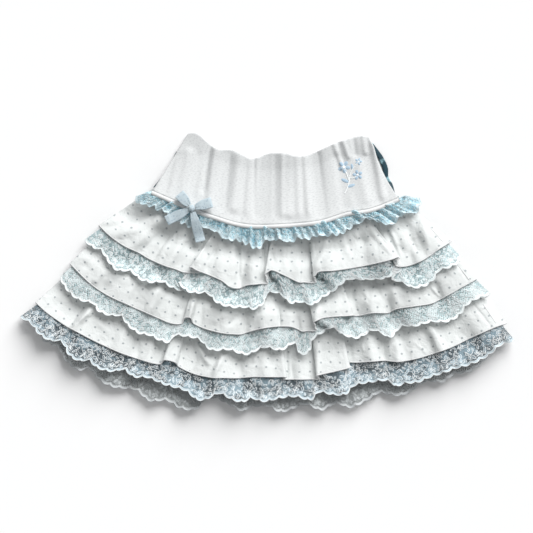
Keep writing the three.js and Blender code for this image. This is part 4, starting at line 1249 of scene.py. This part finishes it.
def lace_finish(name, net_code, patch_code, border_code, closed):
    """Lace on a net. closed tells how far its close patches fill the holes of the net."""
    material, nodes, shader = new_finish(name, roughness=0.75, sheen=0.1)
    _, across, inward = nodes.cloth_places()
    net = effect(nodes, NET, LACE_NET, "Threads")
    border = nodes.maths("LESS_THAN", inward, LACE_BORDER)
    patches = effect(nodes, PATCHES, LACE_PATCHES, "Mask")
    ground_colour = nodes.mixed(patches, colour(net_code), colour(patch_code))
    base = nodes.mixed(border, ground_colour, colour(border_code))
    nodes.feed(shader.inputs["Base Color"], base)
    filled = nodes.maths("MULTIPLY", patches, closed)
    solid = nodes.maths("MAXIMUM", nodes.maths("MAXIMUM", net, border), filled)
    nodes.feed(shader.inputs["Alpha"], solid)
    stitches = nodes.maths("MULTIPLY", nodes.ribs(across, LACE_STITCHES), 0.2)
    bump(nodes, shader, nodes.maths("ADD", border, stitches), depth=0.0003)
    return material


def thread_finish(name, code, patch_code):
    material, nodes, shader = new_finish(name, roughness=0.6, sheen=0.1)
    _, across, around = nodes.cloth_places()
    patches = effect(nodes, PATCHES, LACE_PATCHES, "Mask")
    base = nodes.mixed(patches, colour(code), colour(patch_code))
    nodes.feed(shader.inputs["Base Color"], base)
    twist = nodes.ribs(nodes.maths("ADD", across, around), CORD_TWIST)
    bump(nodes, shader, twist, depth=0.00006)
    return material


def ribbon_finish(name):
    material, nodes, shader = new_finish(name, roughness=0.5, sheen=0.1)
    place, _, _ = nodes.cloth_places()
    fleck = nodes.soft_step(nodes.noise(place, scale=480, detail=2)[0], 0.55, 0.7)
    base = toned(nodes, colour("c8d7de"), size=0.008, amount=0.12)
    flecked = nodes.mixed(nodes.maths("MULTIPLY", fleck, 0.8), base, colour("98afbe"))
    nodes.feed(shader.inputs["Base Color"], flecked)
    threads = effect(nodes, WEAVE, {"Pitch": RIBBON_THREADS}, "Height")
    bump(nodes, shader, threads, depth=0.00015)
    return material


def satin_finish(name):
    material, nodes, shader = new_finish(name, roughness=0.32)
    place, _, down = nodes.cloth_places()
    painted_sheen_and_gloss = nodes.noise(place, scale=90, detail=2)[0]
    # Painted highlights: noise patches of light blue over the dark teal stand for the satin's glints;
    # the same noise also sets the roughness
    base = nodes.mixed(nodes.soft_step(painted_sheen_and_gloss, 0.5, 0.66), colour("2b4650"), colour("a5cfd8"))
    nodes.feed(shader.inputs["Base Color"], base)
    nodes.feed(shader.inputs["Roughness"], nodes.maths("MULTIPLY_ADD", painted_sheen_and_gloss, 0.2, 0.25))
    bump(nodes, shader, nodes.ribs(down, SATIN_THREADS), depth=0.00005)
    return material


def floor_finish(name):
    material, nodes, shader = new_finish(name, roughness=0.9)
    base = toned(nodes, colour("f4f4f4"), size=0.4, amount=0.01)
    nodes.feed(shader.inputs["Base Color"], base)
    return material


DOTTED_COTTON = cotton_finish("dotted cotton", "d6d9d8", dotted=True)
WHITE_COTTON = cotton_finish("white piping cotton", "e0e1e1", dotted=False)
HEATHER_JERSEY = jersey_finish("heather jersey")
WAIST_LACE = lace_finish("waist lace", "a4dcee", "c8ebf5", "e4f5fa", closed=0.5)
AQUA_LACE = lace_finish("aqua lace", "abc3c7", "ccdee0", "e3eeee", closed=0.6)
# Painted light: the same aqua lace as on tier 1, its net, patches and border coloured lighter for tier
# 2
AQUA_LACE_PAINTED_LIGHTER = lace_finish("aqua lace painted lighter", "c3dadd", "e2eff0", "f0f7f7", closed=0.6)
# The lace's own blue, with its net and patches also darkened as painted shade, for the shadow seen
# through its holes
BLUE_LACE_AND_PAINTED_SHADE = lace_finish("blue lace with painted shade", "68747b", "8b9fa9", "bfccd2", closed=0.8)
# Painted shade: the blue lace again, its net, patches and border coloured darker and greyer for the
# back of tier 3, where it lies under the front
BACK_LACE_IN_PAINTED_SHADE = lace_finish("back lace in painted shade", "838888", "9fa4a4", "c4c8c9", closed=0.4)
WHITE_THREAD = thread_finish("white lace thread", "fafdfd", "f4f9fa")
# Painted shade: the white lace thread coloured darker, for the back lace
WHITE_THREAD_IN_PAINTED_SHADE = thread_finish("white lace thread in painted shade", "c8ccce", "d2d6d8")
WAIST_THREAD = thread_finish("waist lace thread", "dff3f9", "e8f7fb")
WAIST_STITCHES = thread_finish("waist lace stitches", "b9e0ec", "daf0f7")
AQUA_STITCHES = thread_finish("aqua lace stitches", "c2d5d8", "dce8e9")
# The blue lace's stitches, their own blue darkened further as painted shade
BLUE_STITCHES_AND_PAINTED_SHADE = thread_finish("blue lace with painted shade stitches", "62727b", "a9bcc7")
# Painted shade: the blue lace's stitches coloured darker and greyer, for the back lace
BACK_STITCHES_IN_PAINTED_SHADE = thread_finish("back lace stitches in painted shade", "a4a9a9", "bfc4c4")
PALE_THREAD = thread_finish("pale blue embroidery thread", "a9c0d2", "b0c6d6")
BLUE_RIBBON = ribbon_finish("blue ribbon")
TEAL_SATIN = satin_finish("teal satin")


# The skirt's pieces

HEMS = {1: TIER_1_HEM, 2: TIER_2_HEM, 3: TIER_3_HEM}
LACE_EDGES = {1: TIER_1_LACE_EDGE, 2: TIER_2_LACE_EDGE, 3: TIER_3_LACE_EDGE}

# The finishes of each lace's net, threads and stitches, and how many curled cords a square metre has
AQUA = (AQUA_LACE, WHITE_THREAD, AQUA_STITCHES, 13000), "aqua_lace"
# Tier 2's lace: the aqua lace in lighter colours, as painted light
AQUA_PAINTED_LIGHTER = (AQUA_LACE_PAINTED_LIGHTER, WHITE_THREAD, AQUA_STITCHES, 13000), "aqua_lace"
# Tier 3's front lace: its own blue, darkened as painted shade
BLUE_AND_PAINTED_SHADE = (BLUE_LACE_AND_PAINTED_SHADE, WHITE_THREAD, BLUE_STITCHES_AND_PAINTED_SHADE, 11000), "blue_lace"
# The back lace of tier 3: blue lace, white thread and stitches, all coloured darker as painted shade
BACK_LACE_FINISHES_IN_PAINTED_SHADE = (BACK_LACE_IN_PAINTED_SHADE, WHITE_THREAD_IN_PAINTED_SHADE, BACK_STITCHES_IN_PAINTED_SHADE, 8000), "blue_lace"
AQUA_BEHIND = (AQUA_LACE, WHITE_THREAD, AQUA_STITCHES, 5000), "aqua_lace"
LACE_FINISHES = {
    "front": {1: AQUA, 2: AQUA_PAINTED_LIGHTER, 3: BLUE_AND_PAINTED_SHADE},
    "back": {1: AQUA_BEHIND, 2: AQUA_BEHIND, 3: BACK_LACE_FINISHES_IN_PAINTED_SHADE},
}
WAIST_CURLS = {"front": 20000, "back": 8000}


def of_tier(rows, tier):
    return next(row for row in rows if row["tier"] == tier)


def without_folds(rows):
    return [{**row, "rise": 0, "tuck": 0} for row in rows]


def plain_edge(front, reach):
    """The ends of a front edge joined by a plain arc, for a panel that is hidden."""
    middle = []
    for turn in BACK_TURNS:
        angle = math.radians(turn)
        middle.append({"px": FAN_PX + reach * math.sin(angle), "py": FAN_PY + reach * math.cos(angle)})
    return without_folds([front[0], *middle, front[-1]])


def gather_seam(tier):
    return waist_line(-SEAM_TUCK) if tier == 1 else fan_line(of_tier(GATHER_LINES, tier))


def edge_roll(cloth):
    """The narrow rolled hem along a free edge."""
    return tubes(cloth.points[-1][None], cloth.normals[-1][None], HEM_ROLL, ROLL_SIDES)


def add_tier(name, edge, seam):
    """Lays one tier's cotton and gives back its cloth and its shape."""
    cloth = lay(name, edge, seam, COTTON_ROOM)
    shape = wall(cloth, COTTON_CLOTH, cloth.spread_out())
    piece = add_piece(f"{name}_cloth", shape, DOTTED_COTTON, [name])
    roll = add_piece(f"{name}_hem", edge_roll(cloth), WHITE_COTTON)
    return cloth, shape


def loop_places(cloth, motif, repeat, seed):
    """Where the raised loops of a lace run, loop by loop, and which way is up along them."""
    draw = np.random.default_rng(seed)
    repeats = round(cloth.edge[-1] / repeat)
    middles = (np.arange(repeats) + 0.5) * cloth.edge[-1] / repeats
    angles = np.arange(LOOP_POINTS) * 2 * np.pi / LOOP_POINTS
    paths, ups = [], []
    for loop in motif:
        turns = np.radians(loop["turn"] + draw.uniform(-LOOP_LEAN, LOOP_LEAN, len(middles)))[:, None]
        size = draw.uniform(*LOOP_SIZES, len(middles))[:, None]
        aside = 0.5 * loop["wide"] * size * np.cos(angles)
        inwards = 0.5 * loop["long"] * size * np.sin(angles)
        along = loop["along"] + aside * np.cos(turns) - inwards * np.sin(turns)
        inward = loop["inward"] + aside * np.sin(turns) + inwards * np.cos(turns)
        places, normals = cloth.place(middles[:, None] + along * MM, inward * MM)
        paths.append(places)
        ups.append(normals)
    return np.concatenate(paths), np.concatenate(ups)


def curl_places(cloth, per_area, seed):
    """Where short curled cords run, strewn over a whole lace, and which way is up along them."""
    draw = np.random.default_rng(seed)
    count = int(cloth.edge[-1] * cloth.depth[-1].mean() * per_area)
    share = np.linspace(0, 1, CURLS["points"])[None]
    along = draw.uniform(0, cloth.edge[-1], (count, 1))
    inward = draw.uniform(*CURLS["inward"], (count, 1)) * np.interp(along, cloth.edge, cloth.depth[-1])
    bend = draw.uniform(*CURLS["bend"], (count, 1)) * draw.choice([-1, 1], (count, 1))
    heading = draw.uniform(0, 2 * np.pi, (count, 1)) + bend * share ** CURLS["tightening"]
    step = draw.uniform(*CURLS["length"], (count, 1)) * MM / CURLS["points"]
    x = along + np.cumsum(np.cos(heading) * step, axis=1)
    y = np.maximum(inward + np.cumsum(np.sin(heading) * step, axis=1), CURLS["from_edge"] * MM)
    return cloth.place(x, y)


def lace_threads(cloth, cords, repeat, curls, paths, ups):
    """The raised threads of a lace: its edge, the cords along it and the outlines of its loops."""
    parts = [tubes(cloth.points[-1][None], cloth.normals[-1][None], EDGE_THREAD, EDGE_SIDES)]
    along = cloth.edge[None, ::2]
    for cord in cords:
        wave = cord["wave"] * np.cos(2 * np.pi * cord["waves"] * (along / repeat - 0.5))
        line = cloth.place(along, (cord["inward"] + wave) * MM)
        parts.append(tubes(*line, cord["radius"] * MM, CORD_SIDES))
    parts.append(tubes(paths, ups, LOOP_THREAD, CORD_SIDES, closed=True))
    parts.append(tubes(*curl_places(cloth, curls, len(paths)), CURL_THREAD, CORD_SIDES))
    return joined(parts)


def filled_loops(paths, ups):
    """The close stitches inside the loops."""
    count, steps = paths.shape[:2]
    centres = paths.mean(axis=1, keepdims=True)
    rims = lerp(centres, paths, STITCHED_SHARE) + ups * STITCHED_RIM * MM
    middles = centres + ups.mean(axis=1, keepdims=True) * STITCHED_MIDDLE * MM
    vertices = np.concatenate([rims, middles], axis=1).reshape(-1, 3)
    index = np.arange(count * (steps + 1)).reshape(count, steps + 1)
    rim, middle = index[:, :-1], np.broadcast_to(index[:, -1:], (count, steps))
    faces = np.stack([rim, np.roll(rim, -1, axis=1), middle], axis=-1).reshape(-1, 3)
    return vertices, faces, vertices[:, :2]


def add_lace(name, cloth, finishes, slot, rests_on):
    """A lace: its net, its raised threads and the close stitches inside its loops."""
    motif, cords, repeat = LACE_MOTIF, LACE_CORDS, LACE_REPEAT
    if name.startswith("waist"):
        motif, cords, repeat = WAIST_MOTIF, WAIST_CORDS, WAIST_REPEAT
    net, thread, stitches, curls = finishes
    rows, columns = cloth.points.shape[:2]
    cloth = Cloth(np.maximum(cloth.points, [-1, -1, LACE_CLEARANCE]))
    shape = cloth.points.reshape(-1, 3), grid_faces(rows, columns), cloth.along_edge().reshape(-1, 2)
    piece = add_piece(f"{name}_net", shape, net, [name])
    paths, ups = loop_places(cloth, motif, repeat, len(name))
    raised = lace_threads(cloth, cords, repeat, curls, paths, ups)
    threads = add_piece(f"{name}_threads", raised, thread)
    filled = add_piece(f"{name}_stitches", filled_loops(paths, ups), stitches)


def lay_tier_lace(name, edge, tier):
    return lay(name, edge, fan_line(of_tier(LACE_SEAMS, tier)), LACE_ROOM, SCALLOPS)


def add_side_seams(shapes):
    """The raised side seams that show near the right end of each front tier."""
    parts = []
    for row in SIDE_SEAMS:
        surface = Surface(shapes[row["tier"]])
        start, end = from_photo(row["px"], row["py"]), from_photo(row["to_px"], row["to_py"])
        shares = np.linspace(0, 1, SEAM_POINTS)
        found = [surface.under(*lerp(start, end, share)) for share in shares]
        path = np.array([place for place, _ in found]) - [0, 0, SEAM_SINK]
        normals = np.array([normal for _, normal in found])
        parts.append(tubes(path[None], normals[None], SEAM_RADIUS, ROLL_SIDES))
    add_piece("side_seams", joined(parts), WHITE_COTTON)


def add_back_tier(tier):
    name = f"tier_{tier}_back"
    reach = of_tier(BACK_REACH, tier)
    add_tier(name, plain_edge(HEMS[tier], reach["hem"]), gather_seam(tier))
    lace_edge = TIER_3_BACK_LACE_EDGE if tier == 3 else plain_edge(LACE_EDGES[tier], reach["lace"])
    lace_name = f"tier_{tier}_lace_back"
    lace = lay_tier_lace(lace_name, lace_edge, tier)
    add_lace(lace_name, lace, *LACE_FINISHES["back"][tier], ["floor"])


def add_front_tier(tier):
    lace_name = f"tier_{tier}_lace_front"
    lace = lay_tier_lace(lace_name, LACE_EDGES[tier], tier)
    cloth, shape = add_tier(f"tier_{tier}_front", HEMS[tier], gather_seam(tier))
    lace = lace.hung_from(cloth.points[-1], cloth, LACE_FALL)
    add_lace(lace_name, lace, *LACE_FINISHES["front"][tier], [f"tier_{tier}_back_cloth"])
    return shape


def add_waistband(side):
    """Lays one side of the waistband and gives back its cloth and its shape."""
    name = f"waistband_{side}"
    edge = WAIST_TOP if side == "front" else without_folds(WAIST_TOP)
    cloth = lay(name, edge, waist_line(0), JERSEY_ROOM)
    shape = wall(cloth, JERSEY_CLOTH, cloth.spread_out())
    piece = add_piece(f"{name}_cloth", shape, HEATHER_JERSEY, [name])
    return cloth, shape


def lay_waist_lace(side):
    edge = WAIST_LACE_EDGE if side == "front" else without_folds(WAIST_LACE_EDGE)
    return lay(f"waist_lace_{side}", edge, waist_line(LAYER_GAP), LACE_ROOM, WAIST_SCALLOPS)


def puffed(lace):
    """The waist lace with puffs that swell over the piping in some places."""
    share = np.linspace(0, 1, len(lace.points))[:, None]
    bulge = np.sin(np.pi * np.clip(share / PUFF_DEPTH, 0, 1)) ** 2
    swell = np.zeros(lace.points.shape[1])
    for puff in LACE_PUFFS:
        aside = lace.points[0, :, 0] - from_photo(puff["px"], 0)[0]
        swell += puff["rise"] * np.exp(-(aside / (puff["wide"] * M_PER_PX)) ** 2)
    pleats = uneven_waves(lace.edge, PLEATS["spacing"] * MM, len(lace.edge)) - 0.5
    swell = swell * bulge + PLEATS["height"] * pleats * np.minimum(1, share * PLEATS["growth"])
    towards = FAN - lace.points[..., :2]
    towards /= np.linalg.norm(towards, axis=2, keepdims=True)
    moved = np.concatenate([towards * PUFF_LEAN, np.ones_like(towards[..., :1])], axis=2)
    return Cloth(lace.points + moved * swell[..., None] * MM)


def add_waist_lace(side, lace, rests_on):
    finishes = WAIST_LACE, WAIST_THREAD, WAIST_STITCHES, WAIST_CURLS[side]
    add_lace(f"waist_lace_{side}", lace, finishes, "waist_lace", rests_on)


def beside_piping(route):
    """The line just outside the piping, at the height where its lace comes out."""
    line = waist_line(2 * PIPING_RADIUS + PIPING_GAP + PIPING_FULLNESS)(np.linspace(0, 1, len(route)))
    return np.column_stack([line, route[:, 2] + LACE_AT_PIPING])


def piping_route():
    """The middle of the piping, just outside the edge of the waistband and resting beside it."""
    places = waist_line(PIPING_RADIUS + PIPING_GAP)(np.linspace(0, 1, PIPING_POINTS))
    heights = resting_height(places[:, 0], places[:, 1], 2 * PIPING_RADIUS)
    return np.column_stack([places, heights])


def add_piping(side, route):
    ups = np.tile([0.0, 0.0, 1.0], (len(route), 1))
    middle = route + [0, 0, PIPING_FULLNESS]
    shape = tubes(middle[None], ups[None], PIPING_RADIUS + PIPING_FULLNESS, PIPING_SIDES)
    name = f"waist_piping_{side}"
    add_piece(f"{name}_roll", shape, WHITE_COTTON, [name])
    top = route + [0, 0, PIPING_RADIUS]
    for shift in (-PIPING_RADIUS, 0, PIPING_RADIUS):
        ground.mark(top + [0, shift, 0])


def add_side_ribbon(name, outer_edge, inward):
    """A narrow flat loop of satin ribbon along one side of the waistband."""
    outer, _, _ = columns_along(outer_edge, SIDE_RIBBON_STEP)
    across = np.linspace(0, 1, 7)[:, None]
    x = outer[:, 0] + inward * across * SIDE_RIBBON_WIDTH
    y = np.broadcast_to(outer[:, 1], x.shape)
    arch = SIDE_RIBBON_ARCH * np.sin(np.pi * across)
    points = np.stack([x, y, resting_height(x, y, RIBBON_ROOM) + arch], axis=-1)
    points = points[:, ::-1] if inward < 0 else points[::-1, ::-1]
    cloth = Cloth(points)
    ground.mark(points + [0, 0, RIBBON_ROOM / 2])
    places = np.stack(np.broadcast_arrays(cloth.edge, across * SIDE_RIBBON_WIDTH), axis=-1)
    add_piece(f"{name}_satin", wall(cloth, RIBBON_CLOTH, places), TEAL_SATIN, [name])


def ramp_to(start, end, along, done_at):
    return lerp(start, end, min(1, along / done_at))


class BowRibbon:
    """The sections of one ribbon of the bow, each with its middle, its height and its width."""

    def __init__(self, target):
        self.start = from_photo(BOW_KNOT["px"], BOW_KNOT["py"])
        run = from_photo(target["px"], target["py"]) - self.start
        self.length = np.linalg.norm(run)
        self.direction = run / self.length
        self.first = KNOT_RADIUS + CONTACT_GAP
        self.sections = []

    def place(self, distance):
        return self.start + self.direction * distance

    def rests(self, distance):
        return float(resting_height(*self.place(distance), RIBBON_ROOM))

    def add(self, distance, height, width):
        self.sections.append([distance, height, width])

    def cloth(self):
        """The ribbon's surface, arched across and pleated where the knot holds it."""
        smooth, _ = smooth_curve(self.sections, RIBBON_STEP)
        side = np.array([-self.direction[1], self.direction[0]])
        across = np.linspace(0.5, -0.5, RIBBON_ROWS)[:, None]
        distance, height, width = smooth.T
        places = self.start + self.direction * distance[:, None]
        x = places[:, 0] + side[0] * across * width
        y = places[:, 1] + side[1] * across * width
        near_knot = np.exp(-(distance - self.first) / PLEATS_FADE)
        waves = RIBBON_PLEATS * near_knot * np.cos(across * PLEATS_ACROSS * np.pi)
        z = height + RIBBON_ARCH * (1 - (2 * across) ** 2) + waves
        return Cloth(np.stack([x, y, z], axis=-1))


def add_ribbon_piece(name, ribbon):
    cloth = ribbon.cloth()
    ground.mark(cloth.points)
    width = np.linspace(0, BOW_RIBBON_WIDTH, cloth.points.shape[0])[:, None]
    places = np.stack(np.broadcast_arrays(cloth.edge, width), axis=-1)
    shape = wall(cloth, RIBBON_CLOTH, places)
    add_piece(f"{name}_ribbon", shape, BLUE_RIBBON, [name])


def add_loop(name, target, knot_height):
    """A ribbon loop: out from the knot, round its end and back above itself."""
    ribbon = BowRibbon(target)
    far = ribbon.length - LOOP_HEIGHT / 2
    pinched = knot_height - LOOP_DROP
    lower = []
    for row in LOOP_WIDTHS:
        distance = lerp(ribbon.first, far, row["along"])
        resting = max(ribbon.rests(distance), pinched - LOOP_SAG)
        height = ramp_to(pinched, resting, row["along"], LOOP_RESTS_AT)
        opening = ramp_to(LOOP_PINCH, LOOP_HEIGHT, row["along"], LOOP_OPEN_AT)
        lower.append([distance, height, row["width"] * BOW_RIBBON_WIDTH, opening])
    for distance, height, width, _ in lower:
        ribbon.add(distance, height, width)
    radius = LOOP_HEIGHT / 2
    for degrees in LOOP_END_TURNS:
        angle = math.radians(degrees)
        height = lower[-1][1] + radius * (1 + math.sin(angle))
        ribbon.add(far + radius * math.cos(angle), height, BOW_RIBBON_WIDTH)
    for distance, height, width, opening in reversed(lower):
        ribbon.add(distance, height + opening, width)
    add_ribbon_piece(name, ribbon)


def add_tail(name, target, knot_height):
    """A ribbon tail: out from the knot and down to what it lies on."""
    ribbon = BowRibbon(target)
    for along in np.linspace(0, 1, TAIL_POINTS):
        distance = lerp(ribbon.first, ribbon.length, along)
        wave = TAIL_WAVE * math.sin(TAIL_WAVES * math.pi * along) ** 2
        resting = ribbon.rests(distance) + wave
        height = ramp_to(knot_height - TAIL_DROP, resting, along, TAIL_RESTS_AT)
        width = ramp_to(TAIL_NARROW, TAIL_WIDE, along, TAIL_RESTS_AT) * BOW_RIBBON_WIDTH
        ribbon.add(distance, max(resting, height), width)
    add_ribbon_piece(name, ribbon)


def add_knot(knot_height):
    """The knot: a wrapped band of ribbon with soft creases round it."""
    tilt = np.linspace(-np.pi / 2, np.pi / 2, KNOT_ROWS)[:, None]
    turn = np.linspace(0, 2 * np.pi, KNOT_COLUMNS)[None]
    creases = 1 - KNOT_CREASE * np.abs(np.sin(KNOT_CREASES * turn)) * np.cos(tilt)
    x = KNOT_RADIUS * creases * np.cos(tilt) * np.cos(turn)
    y = KNOT_RADIUS * creases * np.cos(tilt) * np.sin(turn)
    z = KNOT_RADIUS * creases * np.sin(tilt)
    centre = [*from_photo(BOW_KNOT["px"], BOW_KNOT["py"]), knot_height]
    points = np.stack([x, y, z], axis=-1) + centre
    places = np.stack(np.broadcast_arrays(turn * KNOT_RADIUS, tilt * KNOT_RADIUS), axis=-1)
    faces = grid_faces(KNOT_ROWS, KNOT_COLUMNS)[:, ::-1]
    shape = points.reshape(-1, 3), faces, places.reshape(-1, 2)
    piece = add_piece("bow_knot_ribbon", shape, BLUE_RIBBON, ["bow_knot"])
    weld = piece.modifiers.new("weld", "WELD")
    weld.merge_threshold = 0.01 * MM


def add_bow():
    centre = from_photo(BOW_KNOT["px"], BOW_KNOT["py"])
    knot_height = ground.highest(*centre) + CONTACT_GAP + KNOT_RADIUS
    add_tail("bow_tail_left", BOW_TAILS[0], knot_height)
    add_tail("bow_tail_right", BOW_TAILS[1], knot_height)
    add_loop("bow_loop_left", BOW_LOOPS[0], knot_height)
    add_loop("bow_loop_right", BOW_LOOPS[1], knot_height)
    add_knot(knot_height)


def stitched_patch(surface, start, end, width):
    """A filled oval of close stitches between two places in the photograph."""
    start, end = from_photo(*start), from_photo(*end)
    run = end - start
    side = np.array([-run[1], run[0]]) / np.linalg.norm(run)
    width *= M_PER_PX
    points, places = [], []
    for ring in range(PATCH_RINGS + 1):
        share = ring / PATCH_RINGS
        for k in range(PATCH_TURNS):
            angle = 2 * math.pi * k / PATCH_TURNS
            along, aside = 0.5 + 0.5 * share * math.cos(angle), 0.5 * share * math.sin(angle)
            x, y = start + run * along + side * width * aside
            base, _ = surface.under(x, y)
            lift = PATCH_LIFT * math.sqrt(max(0, 1 - share ** 2)) - PATCH_SINK * share
            points.append(base + [0, 0, lift])
            places.append([np.linalg.norm(run) * along, width * aside])
    index = np.arange(len(points)).reshape(PATCH_RINGS + 1, PATCH_TURNS)
    after = np.roll(index, -1, axis=1)
    faces = np.stack([index[:-1], index[1:], after[1:], after[:-1]], axis=-1).reshape(-1, 4)
    return np.array(points), faces, np.array(places)


def petals_and_leaves(surface):
    parts = []
    for flower in SPRIG_FLOWERS:
        centre = np.array([flower["px"], flower["py"]])
        for k in range(PETALS):
            angle = math.radians(flower["turn"] + 360 / PETALS * k)
            out = np.array([math.cos(angle), math.sin(angle)]) * flower["size"]
            start, end = centre + PETAL_FROM * out, centre + PETAL_TO * out
            parts.append(stitched_patch(surface, start, end, PETAL_WIDTH * flower["size"]))
    for leaf in SPRIG_LEAVES:
        start, end = (leaf["px"], leaf["py"]), (leaf["to_px"], leaf["to_py"])
        parts.append(stitched_patch(surface, start, end, leaf["width"]))
    return joined(parts)


def stems_and_middles(surface):
    parts = []
    for rows in SPRIG_STEMS:
        line = [[*from_photo(row["px"], row["py"]), 0] for row in rows]
        places, _ = smooth_curve(line, STEM_STEP)
        found = [surface.under(x, y) for x, y, _ in places]
        path = np.array([place + normal * STEM_LIFT for place, normal in found])
        normals = np.array([normal for _, normal in found])
        parts.append(tubes(path[None], normals[None], STEM_RADIUS, ROLL_SIDES))
    for flower in SPRIG_FLOWERS:
        px, py = flower["px"], flower["py"]
        size = FLOWER_MIDDLE * flower["size"]
        parts.append(stitched_patch(surface, (px - size, py), (px + size, py), 2 * size))
    return joined(parts)


def add_sprig(surface):
    add_piece("flower_sprig", petals_and_leaves(surface), PALE_THREAD)
    add_piece("flower_sprig_stem", stems_and_middles(surface), WHITE_THREAD)


def lay_down_skirt():
    """Lays every piece down in order, from the surface up."""
    back_route = piping_route()
    add_waistband("back")
    add_piping("back", back_route)
    add_waist_lace("back", lay_waist_lace("back"), ["floor"])
    for tier in (1, 2, 3):
        add_back_tier(tier)
    add_side_ribbon("side_ribbon_right", SIDE_RIBBON_RIGHT, -1)
    add_side_ribbon("side_ribbon_left", SIDE_RIBBON_LEFT, 1)
    add_side_seams({tier: add_front_tier(tier) for tier in (3, 2, 1)})
    lace = lay_waist_lace("front")
    front_route = piping_route()
    band, band_shape = add_waistband("front")
    add_piping("front", front_route)
    lace = puffed(lace.hung_from(beside_piping(front_route), band, WAIST_LACE_FALL))
    add_waist_lace("front", lace, ["tier_1_front_cloth"])
    add_sprig(Surface(band_shape))
    add_bow()


lay_down_skirt()


# Studio: pale floor, soft light and a camera straight above

def add_floor():
    mesh = bpy.data.meshes.new("floor")
    corners = [(x * FLOOR_SIDE, y * FLOOR_SIDE, 0) for x, y in ((-1, -1), (1, -1), (1, 1), (-1, 1))]
    mesh.from_pydata(corners, [], [(0, 1, 2, 3)])
    mesh.materials.append(floor_finish("pale floor"))
    floor = bpy.data.objects.new("floor", mesh)
    bpy.context.scene.collection.objects.link(floor)


def add_light():
    data = bpy.data.lights.new("soft key", "SUN")
    data.energy = SUN_STRENGTH
    data.angle = math.radians(SUN_SPREAD)
    light = bpy.data.objects.new("soft key", data)
    light.rotation_euler = SUN_DIRECTION.to_track_quat("-Z", "Y").to_euler()
    bpy.context.scene.collection.objects.link(light)
    world = bpy.data.worlds.new("soft room")
    world.use_nodes = True
    background = world.node_tree.nodes["Background"]
    background.inputs["Color"].default_value = ROOM_COLOUR
    background.inputs["Strength"].default_value = ROOM_STRENGTH
    bpy.context.scene.world = world
    bpy.context.scene.view_settings.view_transform = "Standard"


def add_camera():
    data = bpy.data.cameras.new("camera")
    data.lens = data.sensor_width * (CAMERA_HEIGHT - CLOTH_HEIGHT) / (PHOTO_SIDE_PX * M_PER_PX)
    camera = bpy.data.objects.new("camera", data)
    camera.location = (*from_photo(PHOTO_SIDE_PX / 2, PHOTO_SIDE_PX / 2), CAMERA_HEIGHT)
    bpy.context.scene.collection.objects.link(camera)
    bpy.context.scene.camera = camera


add_floor()
add_light()
add_camera()
